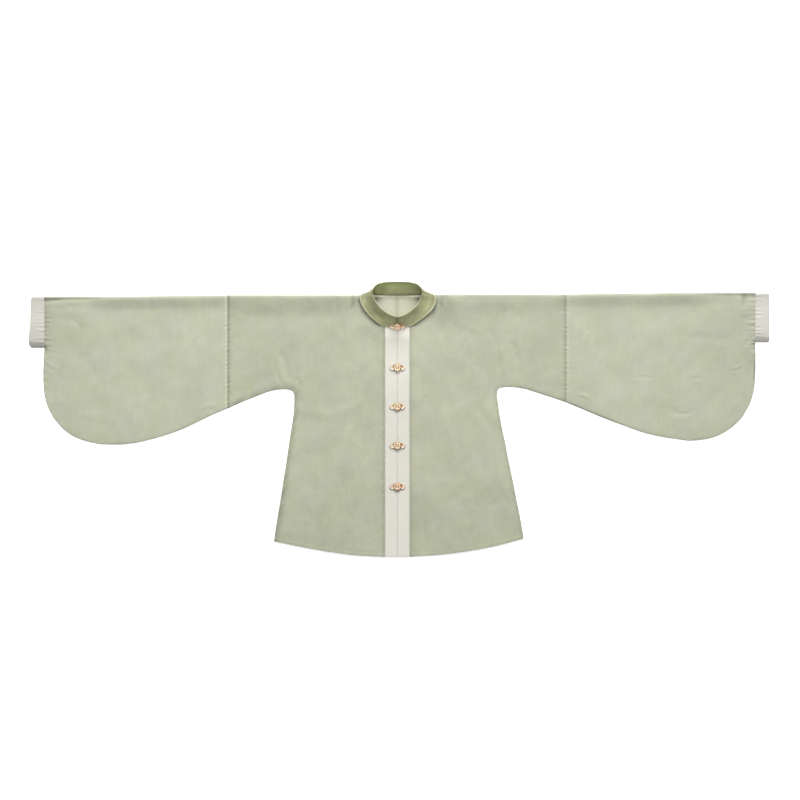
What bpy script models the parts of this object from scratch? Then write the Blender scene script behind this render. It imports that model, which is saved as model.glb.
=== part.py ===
"""A stand-collar jacket with wide rounded sleeves, laid flat with its front up.

The back panel lies on the surface and the front panel lies on it. Both are one cut, folded along the shoulder
line, so each half of the body and each sleeve is a flattened tube of thin cloth. The front bands, the collar and
the clasps lie on top.

The lay is drawn in millimetres. x runs outwards from the centre front line, drop runs from the shoulder line
towards the hem, and z is the height above the surface. Left and right are the wearer's sides: the wearer's left
is at +X. Each table below has a row for each section of a piece, and its first line names the columns.
"""
import math

import bmesh
import bpy
import numpy as np
from mathutils import Matrix

MM = 0.001

# The lay: where the centre front line and the shoulder line are, from the middle of the footprint
CENTRE_FRONT_X = -4.8
SHOULDER_Y = 322.3
SIDES = {"left": 1, "right": -1}

# Walls of the pieces, and the gap that stands for a seam
SILK_WALL = 1.0
CUFF_WALL = 1.2
BAND_WALL = 2.0
COLLAR_WALL = 2.0
SEAM_GAP = 0.3

# Heights of the front cloth's outer face
PRESSED_HEIGHT = 2.8
SWELL_HEIGHT = 1.3
SWELL_START = 22.0
SWELL_REACH = 80.0
ROLL_HEIGHT = 2.8
ROLL_CREST = 6.0
ROLL_FALL = 30.0
FOLD_MIDDLE = 2.4
SEWN_MIDDLE = 1.4
SEWN_PRESS = 1.2
SEWN_START = 4.0

BODY_COLUMNS = "front_x front_drop back_x back_drop side_x side_drop roll end"
BODY_SECTIONS = {
    "right": (
        (439.85, 0, 439.85, 0, 439.85, 294, 1.0, 0),
        (400, 0, 400, 0, 402, 277, 1.0, 0),
        (360, 0, 360, 0, 364, 262, 1.0, 0),
        (318, 0, 318, 0, 332, 250, 1.0, 0),
        (274, 0, 274, 0, 308, 245.5, 1.0, 0),
        (228, 0, 228, 0, 291, 244.6, 1.0, 0),
        (182, 0, 182, 0, 280, 246.5, 0.95, 0),
        (140, 0, 140, 0, 274, 249, 0.8, 0),
        (100, 0, 100, 0, 271.4, 251.4, 0.5, 0),
        (98.4, 9, 94, 0, 270.8, 252.5, 0.0, 0),
        (91, 35, 72, 0, 269.6, 255, 0.0, 0),
        (73, 53, 46, 0, 268.4, 259, 0.0, 0),
        (53, 68, 22, 0, 267.9, 264, 0.0, 0),
        (32.3, 82, 0.15, 0, 267.9, 271, 0.0, 0),
        (32.3, 125, 0.15, 55, 268.6, 292, 0.0, 0),
        (32.3, 170, 0.15, 112, 270.8, 316, 0.0, 0),
        (32.3, 220, 0.15, 176, 275.5, 347, 0.0, 0),
        (32.3, 275, 0.15, 243, 281.8, 387, 0.0, 0),
        (32.3, 335, 0.15, 313, 288.4, 433, 0.0, 0),
        (32.3, 400, 0.15, 385, 296, 480, 0.0, 0),
        (32.3, 468, 0.15, 460, 303.7, 530, 0.0, 0),
        (32.3, 540, 0.15, 536, 311.8, 577, 0.0, 0.1),
        (32.3, 611, 0.15, 609, 317.5, 614, 0.0, 0.5),
        (32.3, 680.9, 0.15, 680, 321.2, 640, 0.0, 1),
    ),
    "left": (
        (437.85, -1.7, 437.85, -1.7, 437.85, 278.2, 1.0, 0),
        (400, -1.7, 400, -1.7, 402, 266, 1.0, 0),
        (360, -1.7, 360, -1.7, 364, 253.8, 1.0, 0),
        (318, -1.8, 318, -1.8, 330, 243.4, 1.0, 0),
        (274, -1.9, 274, -1.9, 304, 239.4, 1.0, 0),
        (228, -2, 228, -2, 285, 238.8, 1.0, 0),
        (182, -2, 182, -2, 273, 240, 0.95, 0),
        (140, -1.8, 140, -1.8, 266.5, 241.6, 0.8, 0),
        (100, -0.8, 100, -0.8, 263, 243.8, 0.5, 0),
        (98.4, 8.5, 94, -0.5, 262, 245, 0.0, 0),
        (91, 35, 72, 0, 260.6, 247.5, 0.0, 0),
        (73, 53, 46, 0, 259.4, 252, 0.0, 0),
        (53, 68, 22, 0, 259.1, 258, 0.0, 0),
        (32.3, 82, 0.15, 0, 259.9, 266, 0.0, 0),
        (32.3, 125, 0.15, 55, 263, 288, 0.0, 0),
        (32.3, 170, 0.15, 112, 266.8, 314, 0.0, 0),
        (32.3, 220, 0.15, 176, 272.6, 346, 0.0, 0),
        (32.3, 275, 0.15, 243, 281, 385, 0.0, 0),
        (32.3, 335, 0.15, 313, 289.6, 430, 0.0, 0),
        (32.3, 400, 0.15, 385, 299.8, 478, 0.0, 0),
        (32.3, 468, 0.15, 460, 309.2, 527, 0.0, 0),
        (32.3, 540, 0.15, 536, 318.8, 573, 0.0, 0.1),
        (32.3, 611, 0.15, 609, 325, 609, 0.0, 0.5),
        (32.3, 680.2, 0.15, 680, 328.6, 633, 0.0, 1),
    ),
}

SLEEVE_COLUMNS = "fold_x fold_drop side_x side_drop roll end"
SLEEVE_SECTIONS = {
    "right": (
        (440.15, 0, 440.15, 294, 1.0, 0),
        (480, 0.8, 478, 310, 1.0, 0),
        (522, 1.2, 518, 329, 1.0, 0),
        (564, 1.8, 558, 348, 1.0, 0),
        (606, 2.3, 598, 362.5, 1.0, 0),
        (648, 2.8, 640, 374.8, 1.0, 0.02),
        (690, 3.4, 682, 384.2, 1.0, 0.06),
        (732, 3.6, 724, 388.5, 1.0, 0.12),
        (774, 3.6, 764, 387.8, 1.0, 0.22),
        (814, 3.6, 802, 381.2, 1.0, 0.38),
        (852, 3.7, 836, 369.5, 0.9, 0.6),
        (886, 4.1, 867, 348.8, 0.7, 0.82),
        (914.65, 4.4, 891.9, 321.2, 0.5, 1),
        (915.85, 4.4, 893, 320, 0.5, 1),
    ),
    "left": (
        (438.15, -1.7, 438.15, 278.3, 1.0, 0),
        (480, -2.9, 478, 294.8, 1.0, 0),
        (522, -4.1, 518, 311.8, 1.0, 0),
        (564, -4.5, 558, 327.6, 1.0, 0),
        (606, -4.7, 598, 342.6, 1.0, 0),
        (648, -5, 638, 356.6, 1.0, 0.02),
        (692, -5.6, 680, 366.8, 1.0, 0.06),
        (736, -6.2, 722, 373.6, 1.0, 0.12),
        (778, -6.7, 762, 378.2, 1.0, 0.22),
        (820, -6.9, 800, 374.6, 1.0, 0.38),
        (860, -6.9, 835, 364.2, 0.9, 0.6),
        (897, -6.9, 868, 344.6, 0.7, 0.82),
        (929.45, -6.9, 895.9, 318.2, 0.5, 1),
        (930.65, -6.9, 897, 317, 0.5, 1),
    ),
}

CUFF_COLUMNS = "fold_x fold_drop side_x side_drop roll end"
CUFF_SECTIONS = {
    "right": (
        (916.15, 4.6, 916.15, 136.3, 0.5, 0),
        (925, 4.5, 925, 136.6, 0.45, 0),
        (935, 4.5, 936, 136.8, 0.4, 0.1),
        (944, 4.6, 946, 136.6, 0.35, 0.5),
        (949.5, 5, 951.5, 135.8, 0.3, 1),
    ),
    "left": (
        (930.95, -5.2, 930.95, 122, 0.5, 0),
        (940, -5.2, 940, 122.3, 0.45, 0),
        (950, -5.2, 950, 122.4, 0.4, 0.1),
        (959, -5.2, 959.5, 122.4, 0.35, 0.5),
        (965, -5, 965.2, 122.2, 0.3, 1),
    ),
}

# The end edges: the hem, the wrist side of the sleeve, and the open edge of the cuff
EDGE_COLUMNS = "share x drop"
HEM_EDGE = {
    "right": ((0, 32.3, 680.9), (0.25, 104.5, 677.1), (0.5, 176.7, 667.6), (0.75, 249, 654.9), (1, 321.2, 640)),
    "left": ((0, 32.3, 680.2), (0.25, 106.3, 675.6), (0.5, 180.4, 666.2), (0.75, 254.5, 652.3), (1, 328.6, 633)),
}
CUFF_SHARE = 0.41
WRIST_EDGE = {
    "right": (
        (0, 915.85, 4.4),
        (CUFF_SHARE, 915.85, 136.4),
        (0.5, 919.2, 164),
        (0.62, 920.5, 204),
        (0.75, 918.8, 246),
        (0.88, 911, 283),
        (1, 893, 320),
    ),
    "left": (
        (0, 930.65, -6.9),
        (CUFF_SHARE, 930.65, 122.2),
        (0.5, 931.5, 152),
        (0.62, 931.2, 194),
        (0.75, 928.4, 238),
        (0.88, 919, 276),
        (1, 897, 317),
    ),
}
CUFF_EDGE = {
    "right": (
        (0, 949.5, 5),
        (0.07, 952.6, 14),
        (0.5, 954.4, 70),
        (0.85, 958, 116),
        (0.94, 957, 128),
        (1, 951.5, 135.8),
    ),
    "left": (
        (0, 965, -5),
        (0.07, 967.3, 4),
        (0.5, 967.6, 60),
        (0.85, 967.5, 106),
        (0.94, 967, 115),
        (1, 965.2, 122.2),
    ),
}

# Rows along a section, from its upper end to its sewn edge: a length, a share of the section, and both added
ROW_COLUMNS = "length share"
ROLL_ROWS = ((0, 0), (1.2, 0), (3.2, 0), (7, 0), (14, 0), (21, 0), (29, 0), (40, 0))
BODY_ROWS = ROLL_ROWS + (
    (0, 0.26), (0, CUFF_SHARE), (0, 0.55), (0, 0.7), (0, 0.86), (-SEWN_PRESS, 1), (0, 1),
)
SLEEVE_ROWS = ROLL_ROWS + (
    (0, 0.26), (-SEWN_START, CUFF_SHARE), (0, CUFF_SHARE), (0, 0.5), (0, 0.6), (0, 0.7), (0, 0.8), (0, 0.9),
    (-SEWN_PRESS, 1), (0, 1),
)
CUFF_ROWS = ROLL_ROWS + (
    (0, 0.45), (0, 0.62), (0, 0.78), (0, 0.92), (-SEWN_PRESS, 1), (0, 1),
)

# The front bands
BAND_WIDTH = 31.7
BAND_TOP_DROP = 82.5
BAND_HEM_DROP = 680.4
BAND_LIFT = SILK_WALL + SEAM_GAP
BAND_EDGE_ROUND = 1.0
BAND_LENGTHS = 20

# The collar, from the centre front round to the centre back: its base on the neck seam and its free edge
COLLAR_WIDTH = 46.0
COLLAR_CURL = 0.5
COLLAR_COLUMNS = "base_x base_drop base_z free_x free_drop"
COLLAR_STATIONS = (
    (0.5, 84.5, 4.7, 0.6, 58),
    (18, 84, 4.7, 12, 54),
    (36, 81, 4.7, 23, 49.5),
    (56, 68.5, 4.7, 34, 42),
    (75, 54.5, 4.7, 44, 33),
    (92.5, 37, 4.7, 54, 20),
    (100.5, 20, 5.3, 60.5, 8),
    (101.8, 7, 6.0, 64, -3),
    (93, -0.5, 5.6, 63.5, -13),
    (79, 0.6, 3.2, 58, -23),
    (58, 1.4, 2.3, 46, -30.5),
    (30, 1.8, 2.3, 24, -34.6),
    (0, 2, 2.3, 0, -35.4),
)
COLLAR_STEPS = 2
COLLAR_ROWS = 5

# The clasps: a flower with a hole on the eye half, a knob with a leaf on the other half
CLASP_COLUMNS = "drop lift tilt"
CLASPS = (
    (82.0, 8.4, 29.0),
    (188.5, 3.6, 0.0),
    (290.0, 3.6, 0.0),
    (391.5, 3.6, 0.0),
    (498.0, 3.6, 0.0),
)
FLOWER_RADIUS = 6.9
FLOWER_TUBE = 3.1
FLOWER_FLATTEN = 0.62
FLOWER_MIDDLE_Z = 3.7
FLOWER_PETALS = 8
PETAL_DEPTH = 0.1
LEAF_TIP = 20.5
LEAF_HALF_WIDTH = 8.2
LEAF_SPREAD = 62.0
LEAF_POINTS = 9
LEAF_THICKNESS = 2.0
LEAF_RIDGE = 0.5
LEAF_DROOP = 1.6
EYE_LEAF_ROOT = 8.0
KNOB_LEAF_ROOT = 10.6
TONGUE_WIDTH = 5.0
TONGUE_THICKNESS = 1.3
KNOB_RADIUS = 3.3
KNOB_HEIGHT = 6.2
KNOB_ROUND = 1.4


def table(columns, rows):
    """Turn rows of sizes into one array for each named column."""
    return dict(zip(columns.split(), np.array(rows, dtype=float).T))


def ease(share):
    """Go smoothly from 0 to 1."""
    share = np.clip(share, 0.0, 1.0)
    return share * share * (3.0 - 2.0 * share)


def curve(at, knots, values):
    """Follow a smooth curve through the knots that never overshoots them."""
    widths = np.diff(knots)
    slopes = np.diff(values) / widths
    tangents = np.concatenate(([slopes[0]], np.zeros(len(slopes) - 1), [slopes[-1]]))
    for k in range(1, len(slopes)):
        if slopes[k - 1] * slopes[k] > 0:
            tangents[k] = 2.0 * slopes[k - 1] * slopes[k] / (slopes[k - 1] + slopes[k])
    k = np.clip(np.searchsorted(knots, at, side="right") - 1, 0, len(widths) - 1)
    t = (at - knots[k]) / widths[k]
    bend_in = tangents[k] * widths[k] * t * (1 - t) ** 2
    bend_out = tangents[k + 1] * widths[k] * t ** 2 * (1 - t)
    return values[k] * (1 + 2 * t) * (1 - t) ** 2 + values[k + 1] * t * t * (3 - 2 * t) + bend_in - bend_out


def to_world(x, drop, z, side):
    """Place a point of the lay in the world, in metres."""
    return ((CENTRE_FRONT_X + side * x) * MM, (SHOULDER_Y - drop) * MM, z * MM)


def linear(red, green, blue):
    """Turn a screen colour of 0 to 255 into the shader's linear colour."""
    return tuple(((v / 255 + 0.055) / 1.055) ** 2.4 for v in (red, green, blue)) + (1.0,)


def make_material(name, colour, roughness, metallic=0.0):
    material = bpy.data.materials.new(name)
    material.use_nodes = True
    shader = material.node_tree.nodes["Principled BSDF"]
    shader.inputs["Base Color"].default_value = linear(*colour)
    shader.inputs["Roughness"].default_value = roughness
    shader.inputs["Metallic"].default_value = metallic
    material.diffuse_color = linear(*colour)
    return material


def add_object(name, mesh, collection, material):
    made = bpy.data.objects.new(name, mesh)
    made.data.materials.clear()
    made.data.materials.append(material)
    collection.objects.link(made)
    return made


def give_wall(cloth, thickness, offset):
    """Thicken an open sheet, keeping the wall even where it turns."""
    solidify = cloth.modifiers.new("wall", "SOLIDIFY")
    solidify.thickness = thickness * MM
    solidify.offset = offset
    solidify.use_even_offset = True
    solidify.use_quality_normals = True


def skin(points, looks_up=None):
    """Skin a grid of points with quads. looks_up turns the faces up or down."""
    mesh = bmesh.new()
    verts = [[mesh.verts.new(point) for point in row] for row in points]
    for row, next_row in zip(verts, verts[1:]):
        for k in range(len(row) - 1):
            mesh.faces.new((row[k], next_row[k], next_row[k + 1], row[k + 1]))
    mesh.normal_update()
    if looks_up is not None and (sum(face.normal.z for face in mesh.faces) > 0) != looks_up:
        bmesh.ops.reverse_faces(mesh, faces=mesh.faces)
    return mesh


def join_sheets(name, sheets):
    """Put sheets in one mesh and weld the points that they share."""
    joined = bmesh.new()
    for sheet in sheets:
        part = bpy.data.meshes.new("part")
        sheet.to_mesh(part)
        sheet.free()
        joined.from_mesh(part)
        bpy.data.meshes.remove(part)
    bmesh.ops.remove_doubles(joined, verts=joined.verts, dist=1e-6)
    mesh = bpy.data.meshes.new(name)
    joined.to_mesh(mesh)
    joined.free()
    return mesh


def edge_shape(edge, share):
    """How far an end edge bows out from the straight line between its ends."""
    knots = edge["share"]
    bow_x = curve(share, knots, edge["x"]) - (edge["x"][0] + share * (edge["x"][-1] - edge["x"][0]))
    bow_drop = curve(share, knots, edge["drop"]) - (edge["drop"][0] + share * (edge["drop"][-1] - edge["drop"][0]))
    return bow_x, bow_drop


def front_height(from_fold, from_seam, from_end, roll, folded):
    """Height of the front cloth's outer face: pressed at seams, swelling between them, rolled at the shoulder."""
    swell = SWELL_HEIGHT * ease((from_fold - SWELL_START) / SWELL_REACH)
    swell *= ease(from_seam / SWELL_REACH) * ease(from_end / SWELL_REACH)
    crest = ROLL_HEIGHT * roll * (1.0 - ease((from_fold - ROLL_CREST) / ROLL_FALL))
    height = PRESSED_HEIGHT + swell + crest
    if folded and from_fold < ROLL_CREST:
        turn = math.sqrt(1.0 - (1.0 - from_fold / ROLL_CREST) ** 2)
        height = FOLD_MIDDLE + (height - FOLD_MIDDLE) * turn
    return height


def back_height(from_fold, folded):
    """Height of the back cloth's outer face: flat on the surface, turned up at the shoulder fold."""
    if folded and from_fold < FOLD_MIDDLE:
        return FOLD_MIDDLE - math.sqrt(FOLD_MIDDLE ** 2 - (FOLD_MIDDLE - from_fold) ** 2)
    return 0.0


def lay_layer(cut, rows, edge, side, layer, fold_sections, sewn_end_row=None, end_lengths=None):
    """Work out the points of the front or the back layer, a list of points for each section."""
    last = len(cut["side_x"]) - 1
    points = []
    for i in range(last + 1):
        upper = np.array((cut[layer + "_x"][i], cut[layer + "_drop"][i]))
        lower = np.array((cut["side_x"][i], cut["side_drop"][i]))
        length = float(np.linalg.norm(lower - upper))
        folded = i < fold_sections
        from_end = SWELL_REACH if end_lengths is None else end_lengths[i]
        section = []
        for j in range(len(rows["length"])):
            from_fold = rows["length"][j] + rows["share"][j] * length
            share = from_fold / length
            bow = np.array(edge_shape(edge, share)) * cut["end"][i]
            x, drop = upper + (lower - upper) * share + bow
            sewn_at_end = sewn_end_row is not None and i == last and j >= sewn_end_row
            if share == 1.0 or sewn_at_end:
                z = SEWN_MIDDLE
            elif layer == "front":
                z = front_height(from_fold, length - from_fold, from_end, cut["roll"][i], folded)
            else:
                z = back_height(from_fold, folded)
            section.append(to_world(x, drop, z, side))
        points.append(section)
    return points


def lay_tube(name, collection, material, wall, cut, rows, edge, side, fold_sections, sewn_end_row=None,
             end_lengths=None):
    """Make a flattened tube of cloth: a front layer over a back layer, joined at the fold and the sewn edges."""
    layers = []
    for layer in ("front", "back"):
        points = lay_layer(cut, rows, edge, side, layer, fold_sections, sewn_end_row, end_lengths)
        layers.append(skin(points, looks_up=layer == "front"))
    cloth = add_object(name, join_sheets(name, layers), collection, material)
    give_wall(cloth, wall, offset=-1.0)
    return cloth


def make_body_half(side_name, collection, material):
    """Half of the body, with its upper sleeve: open at the sleeve seam, neck, front edge, centre back and hem."""
    cut = table(BODY_COLUMNS, BODY_SECTIONS[side_name])
    fold_sections = int(np.count_nonzero(cut["roll"]))
    lay_tube("body_" + side_name, collection, material, SILK_WALL, cut, table(ROW_COLUMNS, BODY_ROWS),
             table(EDGE_COLUMNS, HEM_EDGE[side_name]), SIDES[side_name], fold_sections)


def make_sleeve(side_name, collection, material):
    """The rounded lower sleeve: open at the sleeve seam and at the cuff, sewn along its curve and its wrist side."""
    cut = table(SLEEVE_COLUMNS, SLEEVE_SECTIONS[side_name])
    for layer in ("front", "back"):
        cut[layer + "_x"] = cut["fold_x"]
        cut[layer + "_drop"] = cut["fold_drop"]
    rows = table(ROW_COLUMNS, SLEEVE_ROWS)
    cuff_row = int(np.flatnonzero(rows["share"] == CUFF_SHARE)[-1])
    to_wrist = cut["fold_x"][-1] - cut["fold_x"]
    lay_tube("sleeve_" + side_name, collection, material, SILK_WALL, cut, rows,
             table(EDGE_COLUMNS, WRIST_EDGE[side_name]), SIDES[side_name], len(cut["roll"]), cuff_row, to_wrist)


def make_cuff(side_name, collection, material):
    """The cuff: a short flattened tube sewn to the wrist opening."""
    cut = table(CUFF_COLUMNS, CUFF_SECTIONS[side_name])
    for layer in ("front", "back"):
        cut[layer + "_x"] = cut["fold_x"]
        cut[layer + "_drop"] = cut["fold_drop"]
    lay_tube("cuff_" + side_name, collection, material, CUFF_WALL, cut, table(ROW_COLUMNS, CUFF_ROWS),
             table(EDGE_COLUMNS, CUFF_EDGE[side_name]), SIDES[side_name], len(cut["roll"]))


def make_front_band(side_name, collection, material):
    """A folded strip beside the centre front line, from the neck seam to the hem."""
    inner = SEAM_GAP
    outer = SEAM_GAP + BAND_WIDTH
    top = BAND_LIFT + BAND_WALL
    across = (
        (inner, top - BAND_EDGE_ROUND * 0.4),
        (inner + BAND_EDGE_ROUND, top),
        (outer - BAND_EDGE_ROUND, top),
        (outer, top - BAND_EDGE_ROUND * 0.4),
    )
    points = []
    for drop in np.linspace(BAND_TOP_DROP, BAND_HEM_DROP, BAND_LENGTHS + 1):
        points.append([to_world(x, drop, z, SIDES[side_name]) for x, z in across])
    name = "front_band_" + side_name
    band = add_object(name, join_sheets(name, [skin(points, looks_up=True)]), collection, material)
    give_wall(band, BAND_WALL - BAND_EDGE_ROUND * 0.4, offset=-1.0)


def collar_column(base, free):
    """Points up the collar at one station: it leaves the neck seam nearly flat, then curls up."""
    across = float(np.linalg.norm(free[:2] - base[:2]))
    rise = math.sqrt(COLLAR_WIDTH ** 2 - across ** 2)
    column = []
    for share in np.linspace(0.0, 1.0, COLLAR_ROWS):
        along = share * (1.0 + COLLAR_CURL * (1.0 - share))
        up = share * (1.0 - COLLAR_CURL * (1.0 - share))
        x, drop = base[:2] + (free[:2] - base[:2]) * along
        column.append((x, drop, base[2] + rise * up))
    return column


def make_collar(collection, material):
    """The stand collar: one strip round the neck, with its two ends side by side at the centre front."""
    stations = table(COLLAR_COLUMNS, COLLAR_STATIONS)
    knots = np.arange(len(COLLAR_STATIONS), dtype=float)
    places = np.linspace(0.0, knots[-1], int(knots[-1]) * COLLAR_STEPS + 1)
    half = []
    for place in places:
        at = {name: float(curve(place, knots, values)) for name, values in stations.items()}
        base = np.array((at["base_x"], at["base_drop"], at["base_z"]))
        half.append(collar_column(base, np.array((at["free_x"], at["free_drop"]))))
    right = [[to_world(*point, SIDES["right"]) for point in column] for column in half]
    left = [[to_world(*point, SIDES["left"]) for point in column] for column in reversed(half[:-1])]
    collar = add_object("collar", join_sheets("collar", [skin(right + left)]), collection, material)
    give_wall(collar, COLLAR_WALL, offset=0.0)


def mesh_from(shape, name):
    mesh = bpy.data.meshes.new(name)
    shape.to_mesh(mesh)
    shape.free()
    return mesh


def leaf_shape(root, direction):
    """A leaf beside the flower: its root follows the flower's round edge, and its tip droops a little."""
    rows = []
    for turn in np.radians(np.linspace(-LEAF_SPREAD, LEAF_SPREAD, LEAF_POINTS)):
        tip_x = LEAF_TIP * math.cos(turn)
        tip_y = LEAF_HALF_WIDTH * math.sin(turn)
        root_share = root / math.hypot(tip_x, tip_y)
        row = []
        for share, ridge in ((root_share, 0.0), ((1 + root_share) / 2, LEAF_RIDGE), (1.0, 0.0)):
            x = tip_x * share
            y = tip_y * share - LEAF_DROOP * (x / LEAF_TIP) ** 2
            row.append((direction * x * MM, y * MM, (LEAF_THICKNESS + ridge) * MM))
        rows.append(row)
    shape = skin(rows)
    grown = bmesh.ops.extrude_face_region(shape, geom=shape.faces[:])
    for item in grown["geom"]:
        if isinstance(item, bmesh.types.BMVert):
            item.co.z = 0.0
    bmesh.ops.recalc_face_normals(shape, faces=shape.faces)
    return shape


def flower_shape():
    """A ring of petals round the hole that the knob comes up through."""
    bpy.ops.mesh.primitive_torus_add(major_radius=FLOWER_RADIUS * MM, minor_radius=FLOWER_TUBE * MM,
                                     major_segments=4 * FLOWER_PETALS, minor_segments=6)
    ring = bpy.context.object
    for vert in ring.data.vertices:
        radius = math.hypot(vert.co.x, vert.co.y)
        angle = math.atan2(vert.co.y, vert.co.x)
        outwards = ease((radius / MM - FLOWER_RADIUS + FLOWER_TUBE) / (2 * FLOWER_TUBE))
        scale = 1 + PETAL_DEPTH * outwards * (math.cos(FLOWER_PETALS * angle) - 1) / 2
        vert.co.x *= scale
        vert.co.y *= scale
        vert.co.z = vert.co.z * FLOWER_FLATTEN + FLOWER_MIDDLE_Z * MM
    shape = bmesh.new()
    shape.from_mesh(ring.data)
    bpy.data.objects.remove(ring)
    return shape


def tongue_shape():
    """A flat bar that carries the knob from its leaf to the middle of the flower."""
    shape = bmesh.new()
    bmesh.ops.create_cube(shape, size=1.0)
    length = KNOB_LEAF_ROOT + 3.0
    bmesh.ops.scale(shape, verts=shape.verts, vec=(length * MM, TONGUE_WIDTH * MM, TONGUE_THICKNESS * MM))
    bmesh.ops.translate(shape, verts=shape.verts, vec=(length / 2 * MM, 0, TONGUE_THICKNESS / 2 * MM))
    return shape


def knob_shape():
    """The knob: a short post with a rounded top."""
    shape = bmesh.new()
    bmesh.ops.create_cone(shape, cap_ends=True, segments=14, radius1=KNOB_RADIUS * MM, radius2=KNOB_RADIUS * MM,
                          depth=KNOB_HEIGHT * MM)
    bmesh.ops.translate(shape, verts=shape.verts, vec=(0, 0, KNOB_HEIGHT / 2 * MM))
    rim = [edge for edge in shape.edges if all(vert.co.z > KNOB_HEIGHT * MM * 0.9 for vert in edge.verts)]
    bmesh.ops.bevel(shape, geom=rim, offset=KNOB_ROUND * MM, segments=2, profile=0.5, affect="EDGES")
    return shape


def unite(name, shapes):
    """Join overlapping closed shapes into one closed mesh."""
    base = bpy.data.objects.new(name, mesh_from(shapes[0], name))
    bpy.context.collection.objects.link(base)
    for shape in shapes[1:]:
        other = bpy.data.objects.new("other", mesh_from(shape, "other"))
        bpy.context.collection.objects.link(other)
        union = base.modifiers.new("union", "BOOLEAN")
        union.operation = "UNION"
        union.solver = "EXACT"
        union.object = other
        united = bpy.data.meshes.new_from_object(base.evaluated_get(bpy.context.evaluated_depsgraph_get()))
        base.modifiers.clear()
        base.data = united
        bpy.data.objects.remove(other)
    mesh = base.data
    bpy.data.objects.remove(base)
    return mesh


def make_clasps(collection, material):
    """Five clasps down the centre front. The first leans on the collar's base."""
    eye = unite("clasp_eye", [flower_shape(), leaf_shape(EYE_LEAF_ROOT, -1)])
    knob = unite("clasp_knob", [tongue_shape(), knob_shape(), leaf_shape(KNOB_LEAF_ROOT, 1)])
    clasps = table(CLASP_COLUMNS, CLASPS)
    for i in range(len(CLASPS)):
        place = Matrix.Translation(to_world(0.0, clasps["drop"][i], clasps["lift"][i], 1))
        tilt = Matrix.Rotation(math.radians(clasps["tilt"][i]), 4, "X")
        for half, mesh in (("eye", eye), ("knob", knob)):
            clasp = add_object("clasp_%d_%s" % (i + 1, half), mesh.copy(), collection, material)
            clasp.data.transform(place @ tilt)


def main():
    for old in list(bpy.data.objects):
        bpy.data.objects.remove(old)
    collection = bpy.data.collections.new("stand_collar_jacket")
    bpy.context.scene.collection.children.link(collection)
    silk = make_material("sage_silk", (192, 194, 171), 0.5)
    collar_silk = make_material("collar_silk", (152, 155, 122), 0.5)
    band_satin = make_material("band_satin", (229, 226, 214), 0.5)
    cuff_satin = make_material("cuff_satin", (217, 216, 206), 0.55)
    copper = make_material("clasp_copper", (186, 132, 88), 0.35, metallic=0.9)
    for side_name in SIDES:
        make_body_half(side_name, collection, silk)
        make_sleeve(side_name, collection, silk)
        make_cuff(side_name, collection, cuff_satin)
        make_front_band(side_name, collection, band_satin)
    make_collar(collection, collar_silk)
    make_clasps(collection, copper)


main()
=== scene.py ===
# %% [markdown]
# # A stand-collar jacket with wide rounded sleeves, laid flat
# The jacket lies on a pale floor with its front up, and the camera looks straight down at it. This notebook
# dresses the plain solids of the jacket with cloth, stitches and clasps. Each step says first what the
# piece is on the real jacket, and then how it is made here. All sizes in the tables are in millimetres, and
# the scene is in metres.

# %% Load the fixed frame
import math
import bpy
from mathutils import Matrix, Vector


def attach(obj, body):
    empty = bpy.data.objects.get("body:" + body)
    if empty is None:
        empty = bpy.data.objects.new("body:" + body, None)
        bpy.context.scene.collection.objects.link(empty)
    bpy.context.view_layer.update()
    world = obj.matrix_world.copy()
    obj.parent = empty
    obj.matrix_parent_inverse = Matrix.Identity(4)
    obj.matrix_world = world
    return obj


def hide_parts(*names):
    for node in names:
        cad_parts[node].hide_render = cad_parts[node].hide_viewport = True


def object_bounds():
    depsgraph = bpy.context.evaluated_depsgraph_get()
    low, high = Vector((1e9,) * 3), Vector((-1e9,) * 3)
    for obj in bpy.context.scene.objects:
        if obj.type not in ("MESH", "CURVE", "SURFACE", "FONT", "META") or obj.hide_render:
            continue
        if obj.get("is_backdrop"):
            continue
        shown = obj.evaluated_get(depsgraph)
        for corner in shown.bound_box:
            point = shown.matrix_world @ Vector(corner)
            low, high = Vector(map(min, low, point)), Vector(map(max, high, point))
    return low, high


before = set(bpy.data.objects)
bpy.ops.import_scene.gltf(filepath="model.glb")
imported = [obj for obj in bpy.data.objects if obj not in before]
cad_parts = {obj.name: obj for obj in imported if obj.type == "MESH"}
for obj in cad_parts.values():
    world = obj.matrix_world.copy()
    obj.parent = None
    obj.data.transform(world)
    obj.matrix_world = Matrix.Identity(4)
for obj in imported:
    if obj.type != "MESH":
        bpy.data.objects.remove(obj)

from types import SimpleNamespace

import bmesh
import bpy
import numpy as np
from mathutils import Matrix, Vector

cad_low, cad_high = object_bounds()
MM = 0.001
print("solids to dress:", len(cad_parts))

# %% [markdown]
# ## Camera, floor and light
# The photograph was taken from straight above, so the camera looks down, far enough away for little
# perspective. The jacket's cloth has a light edge along its shoulder fold and is darker just below it, and
# it is a little darker at the wrists and the hem. That asks for a soft light that falls from beyond the
# collar at a low angle, a weak light all round, and a softbox near the collar. The first two are even over
# the whole floor, so the floor stays white. The collar stands up and shades what is in front of it, so a
# small soft spot light opens up that shade. The floor is a white light table: it glows a little, which
# keeps the shadows on it as pale as in the photograph.

# %% Camera
VIEW_WIDTH = 2.08
LENS = 200.0
SENSOR = 36.0
VIEW_MIDDLE = (0.0022, 0.0496)

camera_data = bpy.data.cameras.new("camera")
camera_data.lens = LENS
camera_data.sensor_width = SENSOR
camera_data.clip_end = 100.0
camera = bpy.data.objects.new("camera", camera_data)
bpy.context.scene.collection.objects.link(camera)
camera.location = (*VIEW_MIDDLE, VIEW_WIDTH * LENS / SENSOR)
bpy.context.scene.camera = camera
print("camera height: %.2f m" % camera.location.z)

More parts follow.
